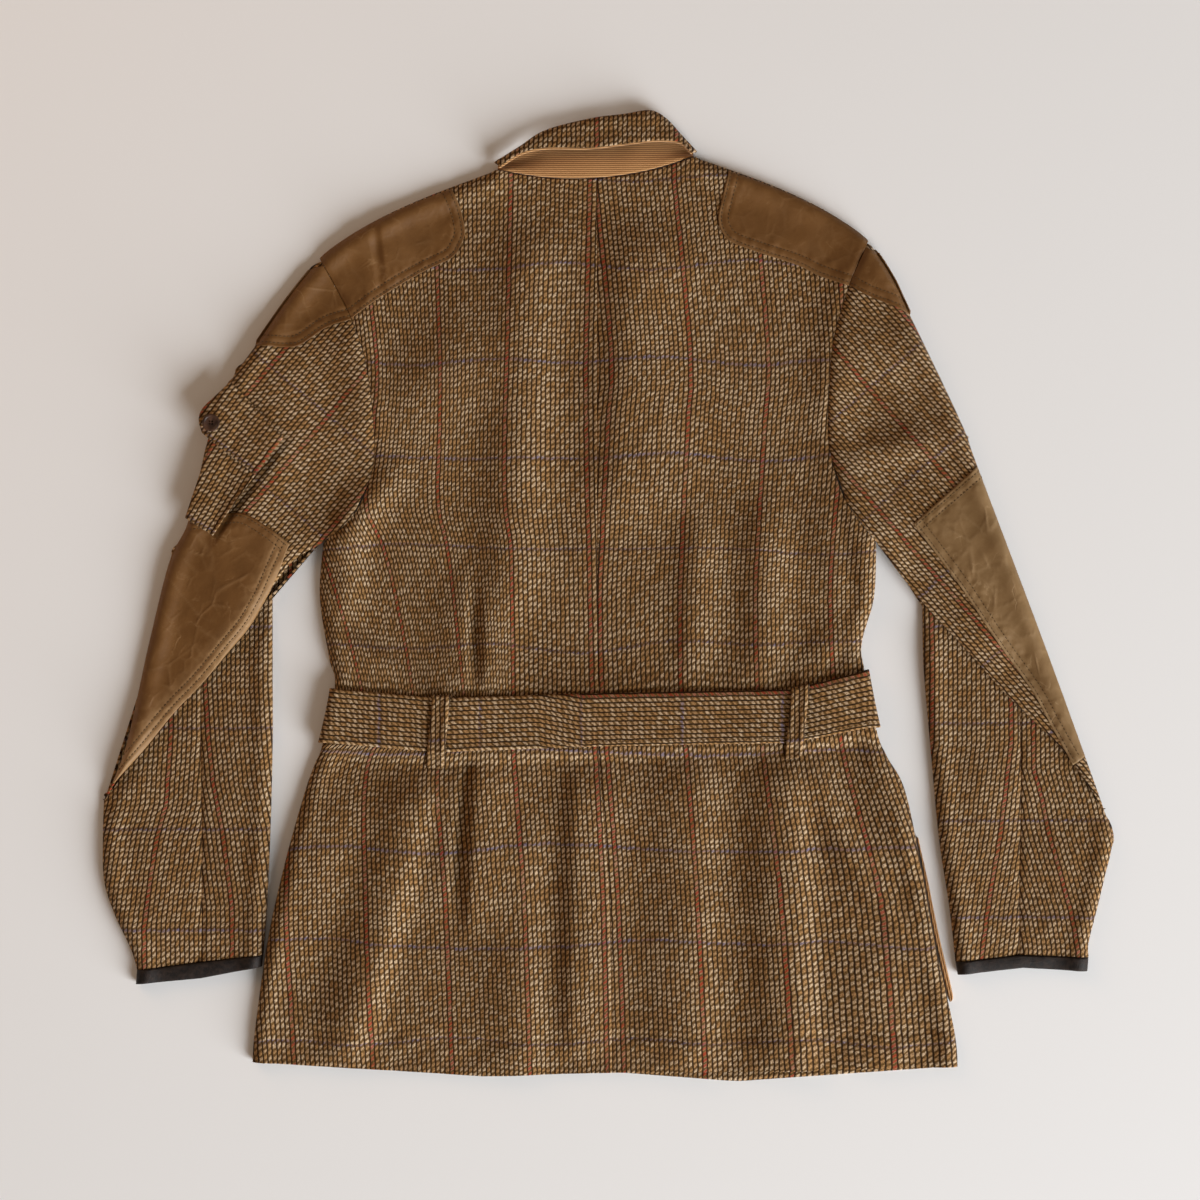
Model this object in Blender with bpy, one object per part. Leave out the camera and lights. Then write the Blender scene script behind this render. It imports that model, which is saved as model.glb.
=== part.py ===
"""Belted tweed sport jacket, laid flat with its back up.

Each cloth piece is a closed wall lofted through sections. The sections come from the outline tables
below, their heights from a table of folds. Tables are in millimetres, meshes in metres. The origin is
under the middle of the jacket on the surface it lies on, +X to the right and +Y towards the collar.
Left and right are as seen from above.
"""

import math

import bmesh
import bpy
import numpy as np
from mathutils.bvhtree import BVHTree

MM = 0.001

# Walls and seams
TWEED_WALL = 2.0
WAXED_WALL = 1.0
BELT_WALL = 3.0
BINDING_WALL = 2.4
BINDING_PROUD = 0.4     # the binding stands this far out from the sleeve
GAP = 0.3
ABOVE = 100.0           # a height over everything
CURVE_POINTS = 60       # along a curve that is only read from
ON_EDGE = 0.05          # nearer than this to an outline, a point is on it

# Heights of the laid cloth
EDGE_MID = 4.5          # outline of a rolled edge, half way round the roll
EDGE_ROLL = 6.0         # how far the roll reaches in from the outline
EDGE_PUFF = 3.4         # a rolled edge stands a little prouder than the cloth inside it
PUFF_CREST = 8.4        # and is highest this far in
REST_HEIGHT = 6.6       # upper face of the back where it lies on the fronts
LOWEST_TOP = 5.4
BELT_BED = 12.8         # upper face of the back under the belt
BELT_REACH = 8.0        # the belt holds the cloth flat this far past its edges
BELT_PRESS = 12.0       # then lets the folds rise over this length
LIP_FOOT = 9.6          # edge of the elbow fold where the upper arm lies over the forearm
LIP_RISE = 4.0
LIP_ROLL = 9.0
LIP_REACH = 24.0
TUCK = 8.0              # the under sleeve runs on this far under the elbow fold
TUCK_INSET = 12.0       # and starts this far from the elbow seam there
FOREARM_REST = 6.2
FOREARM_PUFF = 1.2      # and rises by this much clear of the fold
FOLD_END = 28.0         # a fold dies away over this length

# Columns of a panel: steps in from a rolled edge, then even steps
EDGE_STEPS = (0.0, 0.8, 2.6, 6.0)
NECK_SHARE = 0.64       # share of the half back from the armhole to the side of the neck
SHOULDER_BULGE = 9.0    # the shoulder line stands this far above a straight one
SHOULDER_DEPTH = 60.0   # and the rows below it less and less over this height
SHOULDER_LEAN = 0.7     # below 1 the bulge is nearer to the shoulder point

# Half backs from the hem up to the armpit, then round the armhole to the shoulder.
# Columns: edge_x, edge_y, neck_column_y, centre_seam_y
LEFT_SIDE = (
    (-301, -395, -407, -404),
    (-299, -368, -378, -374),
    (-288, -291, -300, -298),
    (-273, -224, -230, -230),
    (-256, -164, -168, -168),
    (-248, -142, -150, -146),
    (-241.5, -126, -134, -129),
    (-231, -76, -83, -79),
    (-236, -53, -55, -55),
    (-244, -1, 0, 0),
    (-241, 45, 46, 47),
)
LEFT_ARMHOLE = (
    (-214, 69, 72, 73),
    (-199, 107, 110, 111),
    (-198, 149, 154, 153),
    (-205, 200, 212, 207),
    (-217, 235, 272, 263),
    (-230, 261, 318, 311),
    (-244, 286, 361, 354),
)
RIGHT_SIDE = (
    (297, -399, -403, -404),
    (294, -368, -374, -374),
    (277, -291, -297, -298),
    (265, -224, -229, -230),
    (252, -164, -168, -168),
    (237, -136, -147, -147),
    (228, -114, -127, -129),
    (217, -60, -78, -82),
    (216, -38, -52, -55),
    (226, -1, 0, 0),
    (228, 44, 46, 47),
)
RIGHT_ARMHOLE = (
    (201, 81, 78, 76),
    (188, 124, 118, 115),
    (187, 166, 160, 157),
    (191, 217, 216, 207),
    (204, 262, 288, 263),
    (212, 281, 332, 311),
    (221, 301, 372, 354),
)
# Centre-back seam. Columns: y, x
CENTRE_SEAM = ((-404, 4), (-257, 2), (-130, -8), (81, -9), (354, -9))

# Places of the rows along the armhole table: close together at the armpit and at the shoulder
ARMHOLE_ROWS = (0.12, 0.35, 1.0, 1.75, 2.5, 3.25, 4.0, 4.75, 5.5, 6.55, 6.8, 6.92, 6.97, 7.0)
SLEEVE_HEAD_ROW = 10    # the sleeve starts at this armhole row, just under the shoulder point
# Places along the side table, with rows on both edges of the belt
SIDE_PLACES = (0, 0.5, 1, 1.5, 2, 2.5, 3, 3.5, 4, 5, 6, 6.5, 7, 7.5, 8, 8.5, 9, 9.5, 10)
SIDE_ROWS = len(SIDE_PLACES)
ARMHOLE_EDGE = (slice(SIDE_ROWS, -1), 0)
CENTRE_EDGE = (slice(None), -1)
BACK_COLUMNS = 8        # even columns from the edge to the side of the neck, then to the seam
BACK_NECK_COLUMNS = 5
FRONT_COLUMNS = 3
FRONT_NECK_DROP = 90.0
FRONT_NECK_FROM = 207.0
FRONT_HEM_PEEP = 9.0    # the right front shows this far below the back's hem

# Upper arm's outer outline from the shoulder point to the elbow. Columns: x, y
LEFT_UPPER_ARM = (
    (-244, 286), (-269, 255), (-298, 213), (-321, 179), (-339, 132),
    (-355, 64), (-371, 30), (-388, -37), (-409, -130), (-427, -173),
)
RIGHT_UPPER_ARM = (
    (221, 301), (241, 270), (256, 239), (299, 149), (314, 109), (366, -29), (405, -136), (421, -181),
)
# Forearm from the elbow fold to the cuff binding, and the binding's end.
# Columns: outer_x, outer_y, elbow_seam_x, elbow_seam_y, inner_x, inner_y
LEFT_FOREARM = (
    (-427, -173, -346, -76, -284, 3),
    (-428, -203, -345, -130, -284, -60),
    (-427, -241, -344, -185, -284, -130),
    (-418, -270, -344, -235, -286, -205),
    (-404, -300, -344, -282, -289, -268),
    (-399, -317, -345, -310, -292, -304),
)
LEFT_CUFF_END = (-400, -329, -345, -324, -293, -314)
RIGHT_FOREARM = (
    (421, -181, 350, -95, 267, -6),
    (428, -207, 350, -140, 268, -60),
    (421, -241, 350, -187, 274, -130),
    (414, -270, 349, -235, 281, -205),
    (408, -294, 349, -280, 290, -265),
    (408, -306, 349, -304, 295, -310),
)
RIGHT_CUFF_END = (407, -318, 352, -315, 297, -321)
# Where the elbow seam meets the fold, as a share from the outer edge
LEFT_SEAM_SHARE = 0.44
RIGHT_SEAM_SHARE = 0.38
FOREARM_PLACES = (0, 0.3, 1, 1.7, 2.4, 3.1, 3.8, 4.5, 5)
# Elbow folds from the outer edge in, short of the armpit. Columns: x, y
LEFT_ELBOW_FOLD = (
    (-427, -173), (-418, -159), (-393, -131), (-367, -99), (-343, -74), (-322, -49), (-302, -25),
    (-284, 6), (-267, 29),
)
RIGHT_ELBOW_FOLD = (
    (421, -181), (409, -164), (386, -131), (362, -107), (337, -83), (314, -57), (290, -31), (266, -5),
)
ARMPIT_TOP_ROW = 4      # rows run straight to the armhole down to this one
ARMPIT_COLUMNS = (0, 2, 3)  # armhole rows that the fold's own row runs through past the armpit
OUTLINE_EASE = 60.0     # a row is bent onto the outline over this length
FOLD_ROW_SHARES = (0.45, 0.75, 0.92, 1.0)  # rows between the last straight one and the fold
LEFT_ARM = (LEFT_UPPER_ARM, LEFT_ELBOW_FOLD, LEFT_SEAM_SHARE, LEFT_FOREARM, LEFT_CUFF_END)
RIGHT_ARM = (RIGHT_UPPER_ARM, RIGHT_ELBOW_FOLD, RIGHT_SEAM_SHARE, RIGHT_FOREARM, RIGHT_CUFF_END)

# Folds of the back, the skirt and the upper arms: a crest with its own slope on either side.
# Columns: x0, y0, x1, y1, left_width, right_width, height
BACK_FOLDS = (
    (-68, 300, -84, 0, 23, 24, 6.0),
    (26, 305, 12, 70, 24, 48, 6.0),
    (76, 50, 71, -66, 13, 18, 6.0),
    (133, 60, 131, -72, 15, 17, 7.0),
    (-188, 141, -91, 225, 45, 40, 5.0),
    (-129, 20, -127, -84, 26, 7, 5.0),
    (-97, 20, -99, -84, 8, 22, 8.0),
    (-228, -30, -174, -70, 20, 8, 4.0),
    (-218, 73, -222, -10, 10, 14, 5.0),
    (185, 81, 201, -3, 22, 14, 4.0),
    (205, 81, 219, -3, 8, 12, 4.0),
    (195, -30, 175, -62, 16, 10, 4.0),
    (-216, 234, -203, 132, 22, 18, 3.0),
    (201, 259, 190, 149, 18, 22, 3.0),
    (-231, 35, -180, 107, 14, 16, 3.5),
    (190, 124, 242, 34, 14, 16, 4.5),
    (-228, -173, -281, -321, 20, 30, 4.0),
    (-157, -160, -218, -384, 26, 14, 7.0),
    (-110, -135, -116, -270, 9, 24, 9.0),
    (-70, -200, -72, -404, 30, 16, 4.0),
    (-25, -150, -29, -370, 11, 30, 5.0),
    (70, -145, 68, -404, 35, 22, 6.0),
    (150, -138, 159, -404, 28, 15, 10.0),
    (168, -140, 212, -234, 14, 11, 5.0),
    (212, -234, 264, -305, 14, 12, 4.5),
    (226, -150, 254, -215, 16, 10, 4.0),
    (222, -308, 239, -397, 30, 22, 3.0),
    (-260, 225, -332, -37, 45, 40, 4.0),
    (248, 225, 341, -37, 40, 40, 3.0),
    (221, 122, 282, 132, 14, 14, 3.5),
)
FOREARM_FOLDS = (
    (-388, -200, -383, -300, 30, 26, 2.6),
    (-312, -100, -313, -295, 22, 24, 2.4),
    (318, -130, 311, -300, 30, 26, 2.8),
    (388, -205, 383, -300, 24, 22, 2.8),
)

# Belt on the back. Columns: x, top_y, bottom_y
BELT = (
    (-236, -78, -124),
    (-142, -86, -132),
    (-6, -82, -127),
    (155, -79, -124),
    (222, -62, -111),
)
BELT_UNDER = BELT_WALL + 2 * GAP  # the fronts lie this high over the belt's hidden run
BELT_CLEAR = 1.2        # from the jacket's side to the belt's inner face
BELT_ROWS = 4
BELT_COLUMNS = 20
LEFT_LOOP_X = -143.0
RIGHT_LOOP_X = 160.0
LOOP_WIDTH = 15.0
LOOP_COLUMNS = 5
LOOP_WALL = 1.8
LOOP_CLEAR = 0.8
LOOP_FOOT = 14.0        # from the belt's edge to the end of a loop

# Collar from end to end. Columns: top_x, top_y, free_edge_x, free_edge_y
COLLAR = (
    (-96, 368, -91, 363),
    (-75, 381, -74, 374),
    (-53, 395, -53, 379),
    (-15, 405, -15, 379),
    (15, 409, 13, 382),
    (36, 412, 38, 385),
    (50, 405, 51, 385),
    (63, 391, 63, 383),
    (76, 377, 71, 375),
)
COLLAR_COLUMNS = 17
LEAF_HEIGHT = 13.0
LEAF_EDGE_LIFT = 2.0
LEAF_EDGE_REACH = 8.0
LEAF_SHARES = (0.0, 0.06, 0.2, 0.45, 0.72, 1.0)  # rows from the collar's fold to its free edge
STAND_NECK = 7.6        # height of the stand at the neck seam
STAND_ENDS = (-93.0, 72.0)
STAND_ROWS = 6
STAND_INSET = 6.0       # the stand ends this far short of the collar's fold
STAND_INSET_MOST = 0.6  # or this share of the leaf, where that is less

# Patch outlines, run on past the edge or seam that the patch reaches. Columns: x, y
LEFT_SHOULDER_PATCH = (
    (-146, 380), (-132, 345), (-125, 329), (-121, 309), (-125, 296), (-133, 286),
    (-157, 274), (-190, 254), (-216, 235), (-240, 222), (-270, 300),
)
LEFT_SLEEVE_HEAD_PATCH = (
    (-200, 241), (-216, 235), (-238, 228), (-258, 214), (-271, 211), (-300, 213), (-320, 213), (-230, 310),
)
RIGHT_SHOULDER_PATCH = (
    (112, 390), (103, 360), (98, 340), (94, 320), (98, 307), (107, 299), (129, 291),
    (160, 281), (179, 272), (204, 263), (228, 252), (250, 320),
)
RIGHT_SLEEVE_HEAD_PATCH = ((190, 268), (204, 263), (220, 254), (243, 245), (254, 240), (275, 230), (215, 320))
LEFT_ELBOW_PATCH = (
    (-375, 56), (-354, 61), (-311, 71), (-269, 44), (-250, 20), (-300, -75), (-405, -166), (-419, -157),
    (-440, -146),
)
RIGHT_ELBOW_PATCH = (
    (330, 123), (314, 109), (259, 61), (297, 10), (327, -35), (358, -78), (376, -111),
    (394, -143), (405, -136), (425, -126),
)

# Sleeve pocket, its flap and button. Corner order: top left, top right, bottom right, bottom left
POCKET_BAG = ((-333, 136), (-294, 107), (-333, 51), (-357, 66))
POCKET_FLAP = ((-318, 180), (-273, 132), (-295, 103), (-343, 142))
POCKET_ROWS = 7
POCKET_REACH = 7.0      # the stiff pocket bridges hollows narrower than this
POCKET_LIFT = 2.0       # clear of the elbow patch, which the bag's end lies on
FLAP_LIFT = 4.8
BUTTON_PLACE = (-334, 146)
BUTTON_LIFT = 0.8       # shank of thread under the button
BUTTON_RADIUS = 7.4
BUTTON_THICK = 3.0
BUTTON_RIM = 1.7
BUTTON_WELL = 0.8
BUTTON_ROUND = 0.7
BUTTON_HOLES = 4
BUTTON_HOLE_SIDES = 6
BUTTON_HOLE_RADIUS = 0.8
BUTTON_HOLE_SPREAD = 1.5
BUTTON_SIDES = 20

# Tan pocket edge beside the right of the skirt: from the top down
GUSSET_TOP = -205.0
GUSSET_BOTTOM = -344.0
GUSSET_WIDTH = 4.6
GUSSET_HEIGHT = 5.0
GUSSET_ROWS = 9

# Finishes. Columns: name: (colour, roughness)
FINISHES = {
    "tweed": ((0.165, 0.115, 0.062), 0.95),
    "waxed_cotton": ((0.150, 0.098, 0.040), 0.55),
    "needlecord": ((0.430, 0.300, 0.160), 0.90),
    "leather": ((0.030, 0.020, 0.016), 0.50),
    "horn": ((0.090, 0.040, 0.024), 0.35),
}


def clear_scene():
    """Remove every object of the scene."""
    for scene_object in list(bpy.data.objects):
        bpy.data.objects.remove(scene_object, do_unlink=True)


def finish(name):
    """A Principled material with the finish's colour and roughness, made once."""
    material = bpy.data.materials.get(name)
    if material is None:
        colour, roughness = FINISHES[name]
        material = bpy.data.materials.new(name)
        material.use_nodes = True
        shader = material.node_tree.nodes["Principled BSDF"]
        shader.inputs["Base Color"].default_value = (*colour, 1.0)
        shader.inputs["Roughness"].default_value = roughness
        shader.inputs["Metallic"].default_value = 0.0
    return material


def add_object(name, mesh_builder, finish_name):
    """Turn a bmesh into a named, smooth-shaded object with its finish."""
    bmesh.ops.recalc_face_normals(mesh_builder, faces=mesh_builder.faces[:])
    mesh = bpy.data.meshes.new(name)
    mesh_builder.to_mesh(mesh)
    mesh_builder.free()
    mesh.shade_smooth()
    mesh.set_sharp_from_angle(angle=math.radians(50))
    mesh.materials.append(finish(finish_name))
    scene_object = bpy.data.objects.new(name, mesh)
    bpy.context.scene.collection.objects.link(scene_object)
    return scene_object


def smooth_rows(table, places):
    """Rows read from a table at the given places, on a smooth curve through its rows."""
    rows = np.asarray(table, dtype=float)
    places = np.asarray(places, dtype=float)
    first = np.clip(np.floor(places).astype(int), 0, len(rows) - 2)
    t = (places - first)[:, None]
    before = rows[np.maximum(first - 1, 0)]
    start = rows[first]
    end = rows[first + 1]
    after = rows[np.minimum(first + 2, len(rows) - 1)]
    linear = end - before
    square = 2 * before - 5 * start + 4 * end - after
    cube = 3 * start - before - 3 * end + after
    return 0.5 * (2 * start + linear * t + square * t ** 2 + cube * t ** 3)


def even_places(table, count):
    """Evenly spread places along a table."""
    return np.linspace(0, len(table) - 1, count)


def quarter_round(share):
    """Height of a quarter round: 0 at its foot, 1 from its reach onwards."""
    share = np.clip(share, 0.0, 1.0)
    return np.sqrt(1.0 - (1.0 - share) ** 2)


def smooth_step(share):
    """Soft step from 0 to 1."""
    share = np.clip(share, 0.0, 1.0)
    return share * share * (3.0 - 2.0 * share)


def nearest_on_lines(points, lines):
    """Distance to the nearest of several polylines, and the direction away from it."""
    starts = np.concatenate([np.asarray(line[:-1], dtype=float) for line in lines])
    ends = np.concatenate([np.asarray(line[1:], dtype=float) for line in lines])
    flat = points.reshape(-1, 1, 2)
    runs = ends - starts
    share = ((flat - starts) * runs).sum(-1) / np.maximum((runs ** 2).sum(-1), 1e-9)
    feet = starts + runs * np.clip(share, 0.0, 1.0)[..., None]
    offsets = flat - feet
    distances = np.linalg.norm(offsets, axis=-1)
    best = distances.argmin(axis=1)
    rows = np.arange(len(best))
    distance = distances[rows, best]
    away = offsets[rows, best] / np.maximum(distance, 1e-9)[:, None]
    return distance.reshape(points.shape[:-1]), away.reshape(points.shape)


def fold_relief(points, folds):
    """Height that the folds add at each point."""
    relief = np.zeros(points.shape[:-1])
    for x0, y0, x1, y1, left_width, right_width, height in folds:
        length = math.hypot(x1 - x0, y1 - y0)
        along_x = (x1 - x0) / length
        along_y = (y1 - y0) / length
        across_x = points[..., 0] - x0
        across_y = points[..., 1] - y0
        along = across_x * along_x + across_y * along_y
        side = across_y * along_x - across_x * along_y
        width = np.where(side < 0, left_width, right_width)
        from_end = np.minimum(along, length - along)
        fade = smooth_step(0.5 + 0.5 * from_end / FOLD_END)
        relief += height * np.exp(-(side / width) ** 2) * fade
    return relief


def belt_hold(points):
    """1 under the belt, falling to 0 where its pressure ends."""
    table = np.asarray(BELT, dtype=float)
    top = np.interp(points[..., 0], table[:, 0], table[:, 1])
    bottom = np.interp(points[..., 0], table[:, 0], table[:, 2])
    outside = np.maximum(points[..., 1] - top, bottom - points[..., 1])
    beyond = np.maximum(table[0, 0] - points[..., 0], points[..., 0] - table[-1, 0])
    held = 1.0 - smooth_step((outside - BELT_REACH) / BELT_PRESS)
    return held * (1.0 - smooth_step((beyond - BELT_PRESS) / BELT_PRESS))


def back_height(points, puff):
    """Upper face of the back and upper arms, before their edges roll down."""
    relief = np.maximum(REST_HEIGHT + fold_relief(points, BACK_FOLDS), LOWEST_TOP) + puff
    held = belt_hold(points)
    return relief * (1.0 - held) + BELT_BED * held


def edge_mid(points):
    """Height of a rolled outline, half way round the roll."""
    return EDGE_MID + BELT_UNDER * belt_hold(points)


def upper_arm_height(fold_line):
    """Height function of an upper arm that ends in a rolled lip along the elbow fold."""
    def height(points, puff):
        distance, _ = nearest_on_lines(points, [fold_line])
        top = back_height(points, puff) + LIP_RISE * np.exp(-(distance / LIP_REACH) ** 2)
        return LIP_FOOT + (top - LIP_FOOT) * quarter_round(distance / LIP_ROLL)
    return height


def forearm_height(points, puff):
    """Upper face of a forearm, before its edges roll down."""
    return FOREARM_REST + FOREARM_PUFF + puff + fold_relief(points, FOREARM_FOLDS)


def tucked_height(fold_line):
    """Height function of a forearm half that is lowest where the elbow fold lies over it."""
    def height(points, puff):
        distance, _ = nearest_on_lines(points, [fold_line])
        clear = smooth_step(distance / LIP_REACH)
        return FOREARM_REST + clear * (forearm_height(points, puff) - FOREARM_REST)
    return height


def edge_roll(plan, outlines):
    """Distance to the outlines, direction in from them, share of the roll and its steepness."""
    distance, inward = nearest_on_lines(plan, outlines)
    every = slice(None)
    for edge, inner in (((every, 0), (every, 1)), ((every, -1), (every, -2)), (-1, -2)):
        on_edge = distance[edge] < ON_EDGE
        inward[edge][on_edge] = inward[inner][on_edge]
    roll = quarter_round(distance / EDGE_ROLL)
    steepness = (1.0 - np.clip(distance / EDGE_ROLL, 0, 1)) / np.maximum(roll, 0.02) / EDGE_ROLL
    return distance, inward, roll, steepness


def raise_sheet(plan, height, outlines):
    """Lift plan points to the laid cloth's upper face; return the points and their normals."""
    distance, inward, roll, steepness = edge_roll(plan, outlines)

    def full(points):
        away, _ = nearest_on_lines(points, outlines)
        return height(points, EDGE_PUFF * np.exp(-(away / PUFF_CREST - 1.0) ** 2))

    top = full(plan)
    mid = edge_mid(plan)
    step = 0.6
    slope_x = (full(plan + (step, 0)) - full(plan - (step, 0))) / (2 * step)
    slope_y = (full(plan + (0, step)) - full(plan - (0, step))) / (2 * step)
    edge_slope = (top - mid) * steepness
    normals = np.stack([
        -slope_x * roll - edge_slope * inward[..., 0],
        -slope_y * roll - edge_slope * inward[..., 1],
        np.where(distance < ON_EDGE, 0.0, 1.0),
    ], axis=-1)
    normals /= np.linalg.norm(normals, axis=-1, keepdims=True)
    points = np.dstack([plan, mid + (top - mid) * roll])
    return points, normals


def lower_sheet(plan, outlines, floor=None):
    """Lay plan points on the surface, with the rim turned up at the outlines."""
    distance, inward, roll, steepness = edge_roll(plan, outlines)
    rim = edge_mid(plan) - GAP
    base = np.zeros_like(roll) if floor is None else floor(plan)
    edge_slope = (rim - base) * steepness
    normals = np.stack([
        -edge_slope * inward[..., 0],
        -edge_slope * inward[..., 1],
        np.where(distance < ON_EDGE, 0.0, -1.0),
    ], axis=-1)
    normals /= np.linalg.norm(normals, axis=-1, keepdims=True)
    points = np.dstack([plan, base + (rim - base) * (1.0 - roll)])
    return points, normals


def square_to_seam(sheet, index):
    """Turn the normals along a seam into the upright plane through it, so that pieces meet square."""
    points, normals = sheet
    run = np.gradient(points[index][:, :2], axis=0)
    across = np.stack([-run[:, 1], run[:, 0]], axis=-1) / np.linalg.norm(run, axis=-1, keepdims=True)
    seam = normals[index].copy()
    seam[:, :2] -= (seam[:, :2] * across).sum(-1, keepdims=True) * across
    normals[index] = seam / np.linalg.norm(seam, axis=-1, keepdims=True)


def sheet_tree(sheets):
    """Search tree over the upper faces of some sheets, in the triangles their walls are made of."""
    corners = []
    triangles = []
    for points, _ in sheets:
        rows, columns = points.shape[:2]
        first = len(corners)
        corners.extend(points.reshape(-1, 3).tolist())
        for row in range(rows - 1):
            for column in range(columns - 1):
                start = first + row * columns + column
                triangles.append((start, start + 1, start + columns + 1))
                triangles.append((start, start + columns + 1, start + columns))
    return BVHTree.FromPolygons(corners, triangles)


def height_on(tree, plan, reach):
    """Greatest height of the cloth within reach of each plan point."""
    heights = np.zeros(plan.shape[:-1])
    turns = np.linspace(0.0, math.tau, 9)[:-1]
    offsets = [(0.0, 0.0), *zip(reach * np.cos(turns), reach * np.sin(turns))]
    for place in np.ndindex(heights.shape):
        hits = [tree.ray_cast((*(plan[place] + offset), ABOVE), (0, 0, -1))[0] for offset in offsets]
        heights[place] = max([hit.z for hit in hits if hit] or [REST_HEIGHT])
    return heights


def cloth_wall(name, sheet, wall, finish_name, keep=None, ring=False):
    """Closed wall from a sheet of rows and columns: its outer face, a copy set in, and the rim.

    keep(row, column) says which cells belong to the piece. A ring's last column meets its first.
    """
    outer, normals = sheet
    inner = outer - normals * wall
    rows, columns = outer.shape[:2]
    builder = bmesh.new()
    made = {}

    def corner(face, row, column):
        key = (id(face), row, column % columns)
        if key not in made:
            made[key] = builder.verts.new(face[row, column % columns] * MM)
        return made[key]

    borders = {}
    for row in range(rows - 1):
        for column in range(columns if ring else columns - 1):
            if keep is not None and not keep(row, column):
                continue
            cell = [(row, column), (row, column + 1), (row + 1, column + 1), (row + 1, column)]
            for triangle in ((cell[0], cell[1], cell[2]), (cell[0], cell[2], cell[3])):
                builder.faces.new([corner(outer, *place) for place in triangle])
                builder.faces.new([corner(inner, *place) for place in reversed(triangle)])
            for start, end in zip(cell, cell[1:] + cell[:1]):
                start = (start[0], start[1] % columns)
                end = (end[0], end[1] % columns)
                if (end, start) in borders:
                    del borders[(end, start)]
                else:
                    borders[(start, end)] = True
    for start, end in borders:
        rim = (corner(outer, *end), corner(outer, *start), corner(inner, *start), corner(inner, *end))
        builder.faces.new(rim)
    return add_object(name, builder, finish_name)


def column_shares(length, even_to, count, rest=0):
    """Shares across a section: the steps of a rolled edge, then even steps to a share, then to the end."""
    steps = np.array(EDGE_STEPS) / length
    shares = np.concatenate([steps, np.linspace(steps[-1], even_to, count + 1)[1:]])
    if rest:
        shares = np.concatenate([shares, np.linspace(even_to, 1.0, rest + 1)[1:]])
    return shares


def half_back_rows(side, armhole):
    """Section rows of a half back from the hem to the shoulder."""
    lower = smooth_rows(side, SIDE_PLACES)
    upper = smooth_rows((side[-1], *armhole), ARMHOLE_ROWS)
    return np.concatenate([lower, upper])


def half_back_plan(rows, seam_gap, columns, rest):
    """Plan points of a half back, from its outer edge to the centre seam."""
    seam = np.asarray(CENTRE_SEAM, dtype=float)
    point_y = rows[-1, 1]
    plan = []
    for edge_x, edge_y, neck_y, seam_y in rows:
        seam_x = np.interp(seam_y, seam[:, 0], seam[:, 1]) + seam_gap
        shares = column_shares(abs(seam_x - edge_x), NECK_SHARE, columns, rest)
        x = edge_x + (seam_x - edge_x) * shares
        y = np.interp(shares, (0.0, NECK_SHARE, 1.0), (edge_y, neck_y, seam_y))
        bulge = SHOULDER_BULGE * np.clip(1.0 - (point_y - edge_y) / SHOULDER_DEPTH, 0.0, 1.0)
        y += bulge * np.sin(math.pi * np.clip(shares / NECK_SHARE, 0.0, 1.0) ** SHOULDER_LEAN)
        plan.append(np.stack([x, y], axis=-1))
    return np.array(plan)


def half_back_outlines(plan, columns):
    """Rolled outlines of a half back: its side up to the armpit, and its shoulder."""
    return [plan[:SIDE_ROWS, 0], plan[-1, :len(EDGE_STEPS) + columns]]


def back_panel(name, side, armhole, seam_gap):
    """A half back; returns its raised sheet for the patch that lies on it."""
    plan = half_back_plan(half_back_rows(side, armhole), seam_gap, BACK_COLUMNS, BACK_NECK_COLUMNS)
    sheet = raise_sheet(plan, back_height, half_back_outlines(plan, BACK_COLUMNS))
    square_to_seam(sheet, ARMHOLE_EDGE)
    square_to_seam(sheet, CENTRE_EDGE)
    cloth_wall(name, sheet, TWEED_WALL, "tweed")
    return sheet


def front_floor(plan):
    """Underside of the fronts: on the surface, and over the belt where it passes beneath."""
    return BELT_UNDER * belt_hold(plan)


def front_panel(name, side, armhole, seam_gap, peep):
    """A hidden front, flat on the surface with its side and shoulder turned up to meet the back."""
    rows = half_back_rows(side, armhole)
    neck_top = rows[-1, 3]
    rows[:, 3] -= np.interp(rows[:, 3], (FRONT_NECK_FROM, neck_top), (0.0, FRONT_NECK_DROP))
    rows[0, 2] -= peep
    plan = half_back_plan(rows, seam_gap, FRONT_COLUMNS, 1)
    sheet = lower_sheet(plan, half_back_outlines(plan, FRONT_COLUMNS), front_floor)
    square_to_seam(sheet, ARMHOLE_EDGE)
    square_to_seam(sheet, CENTRE_EDGE)
    cloth_wall(name, sheet, TWEED_WALL, "tweed")


def line_at_shares(line, shares):
    """Points of a polyline at shares of its length."""
    line = np.asarray(line, dtype=float)
    reach = np.concatenate([[0.0], np.cumsum(np.linalg.norm(np.diff(line, axis=0), axis=1))])
    wanted = np.asarray(shares) * reach[-1]
    return np.stack([np.interp(wanted, reach, line[:, axis]) for axis in (0, 1)], axis=-1)


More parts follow.
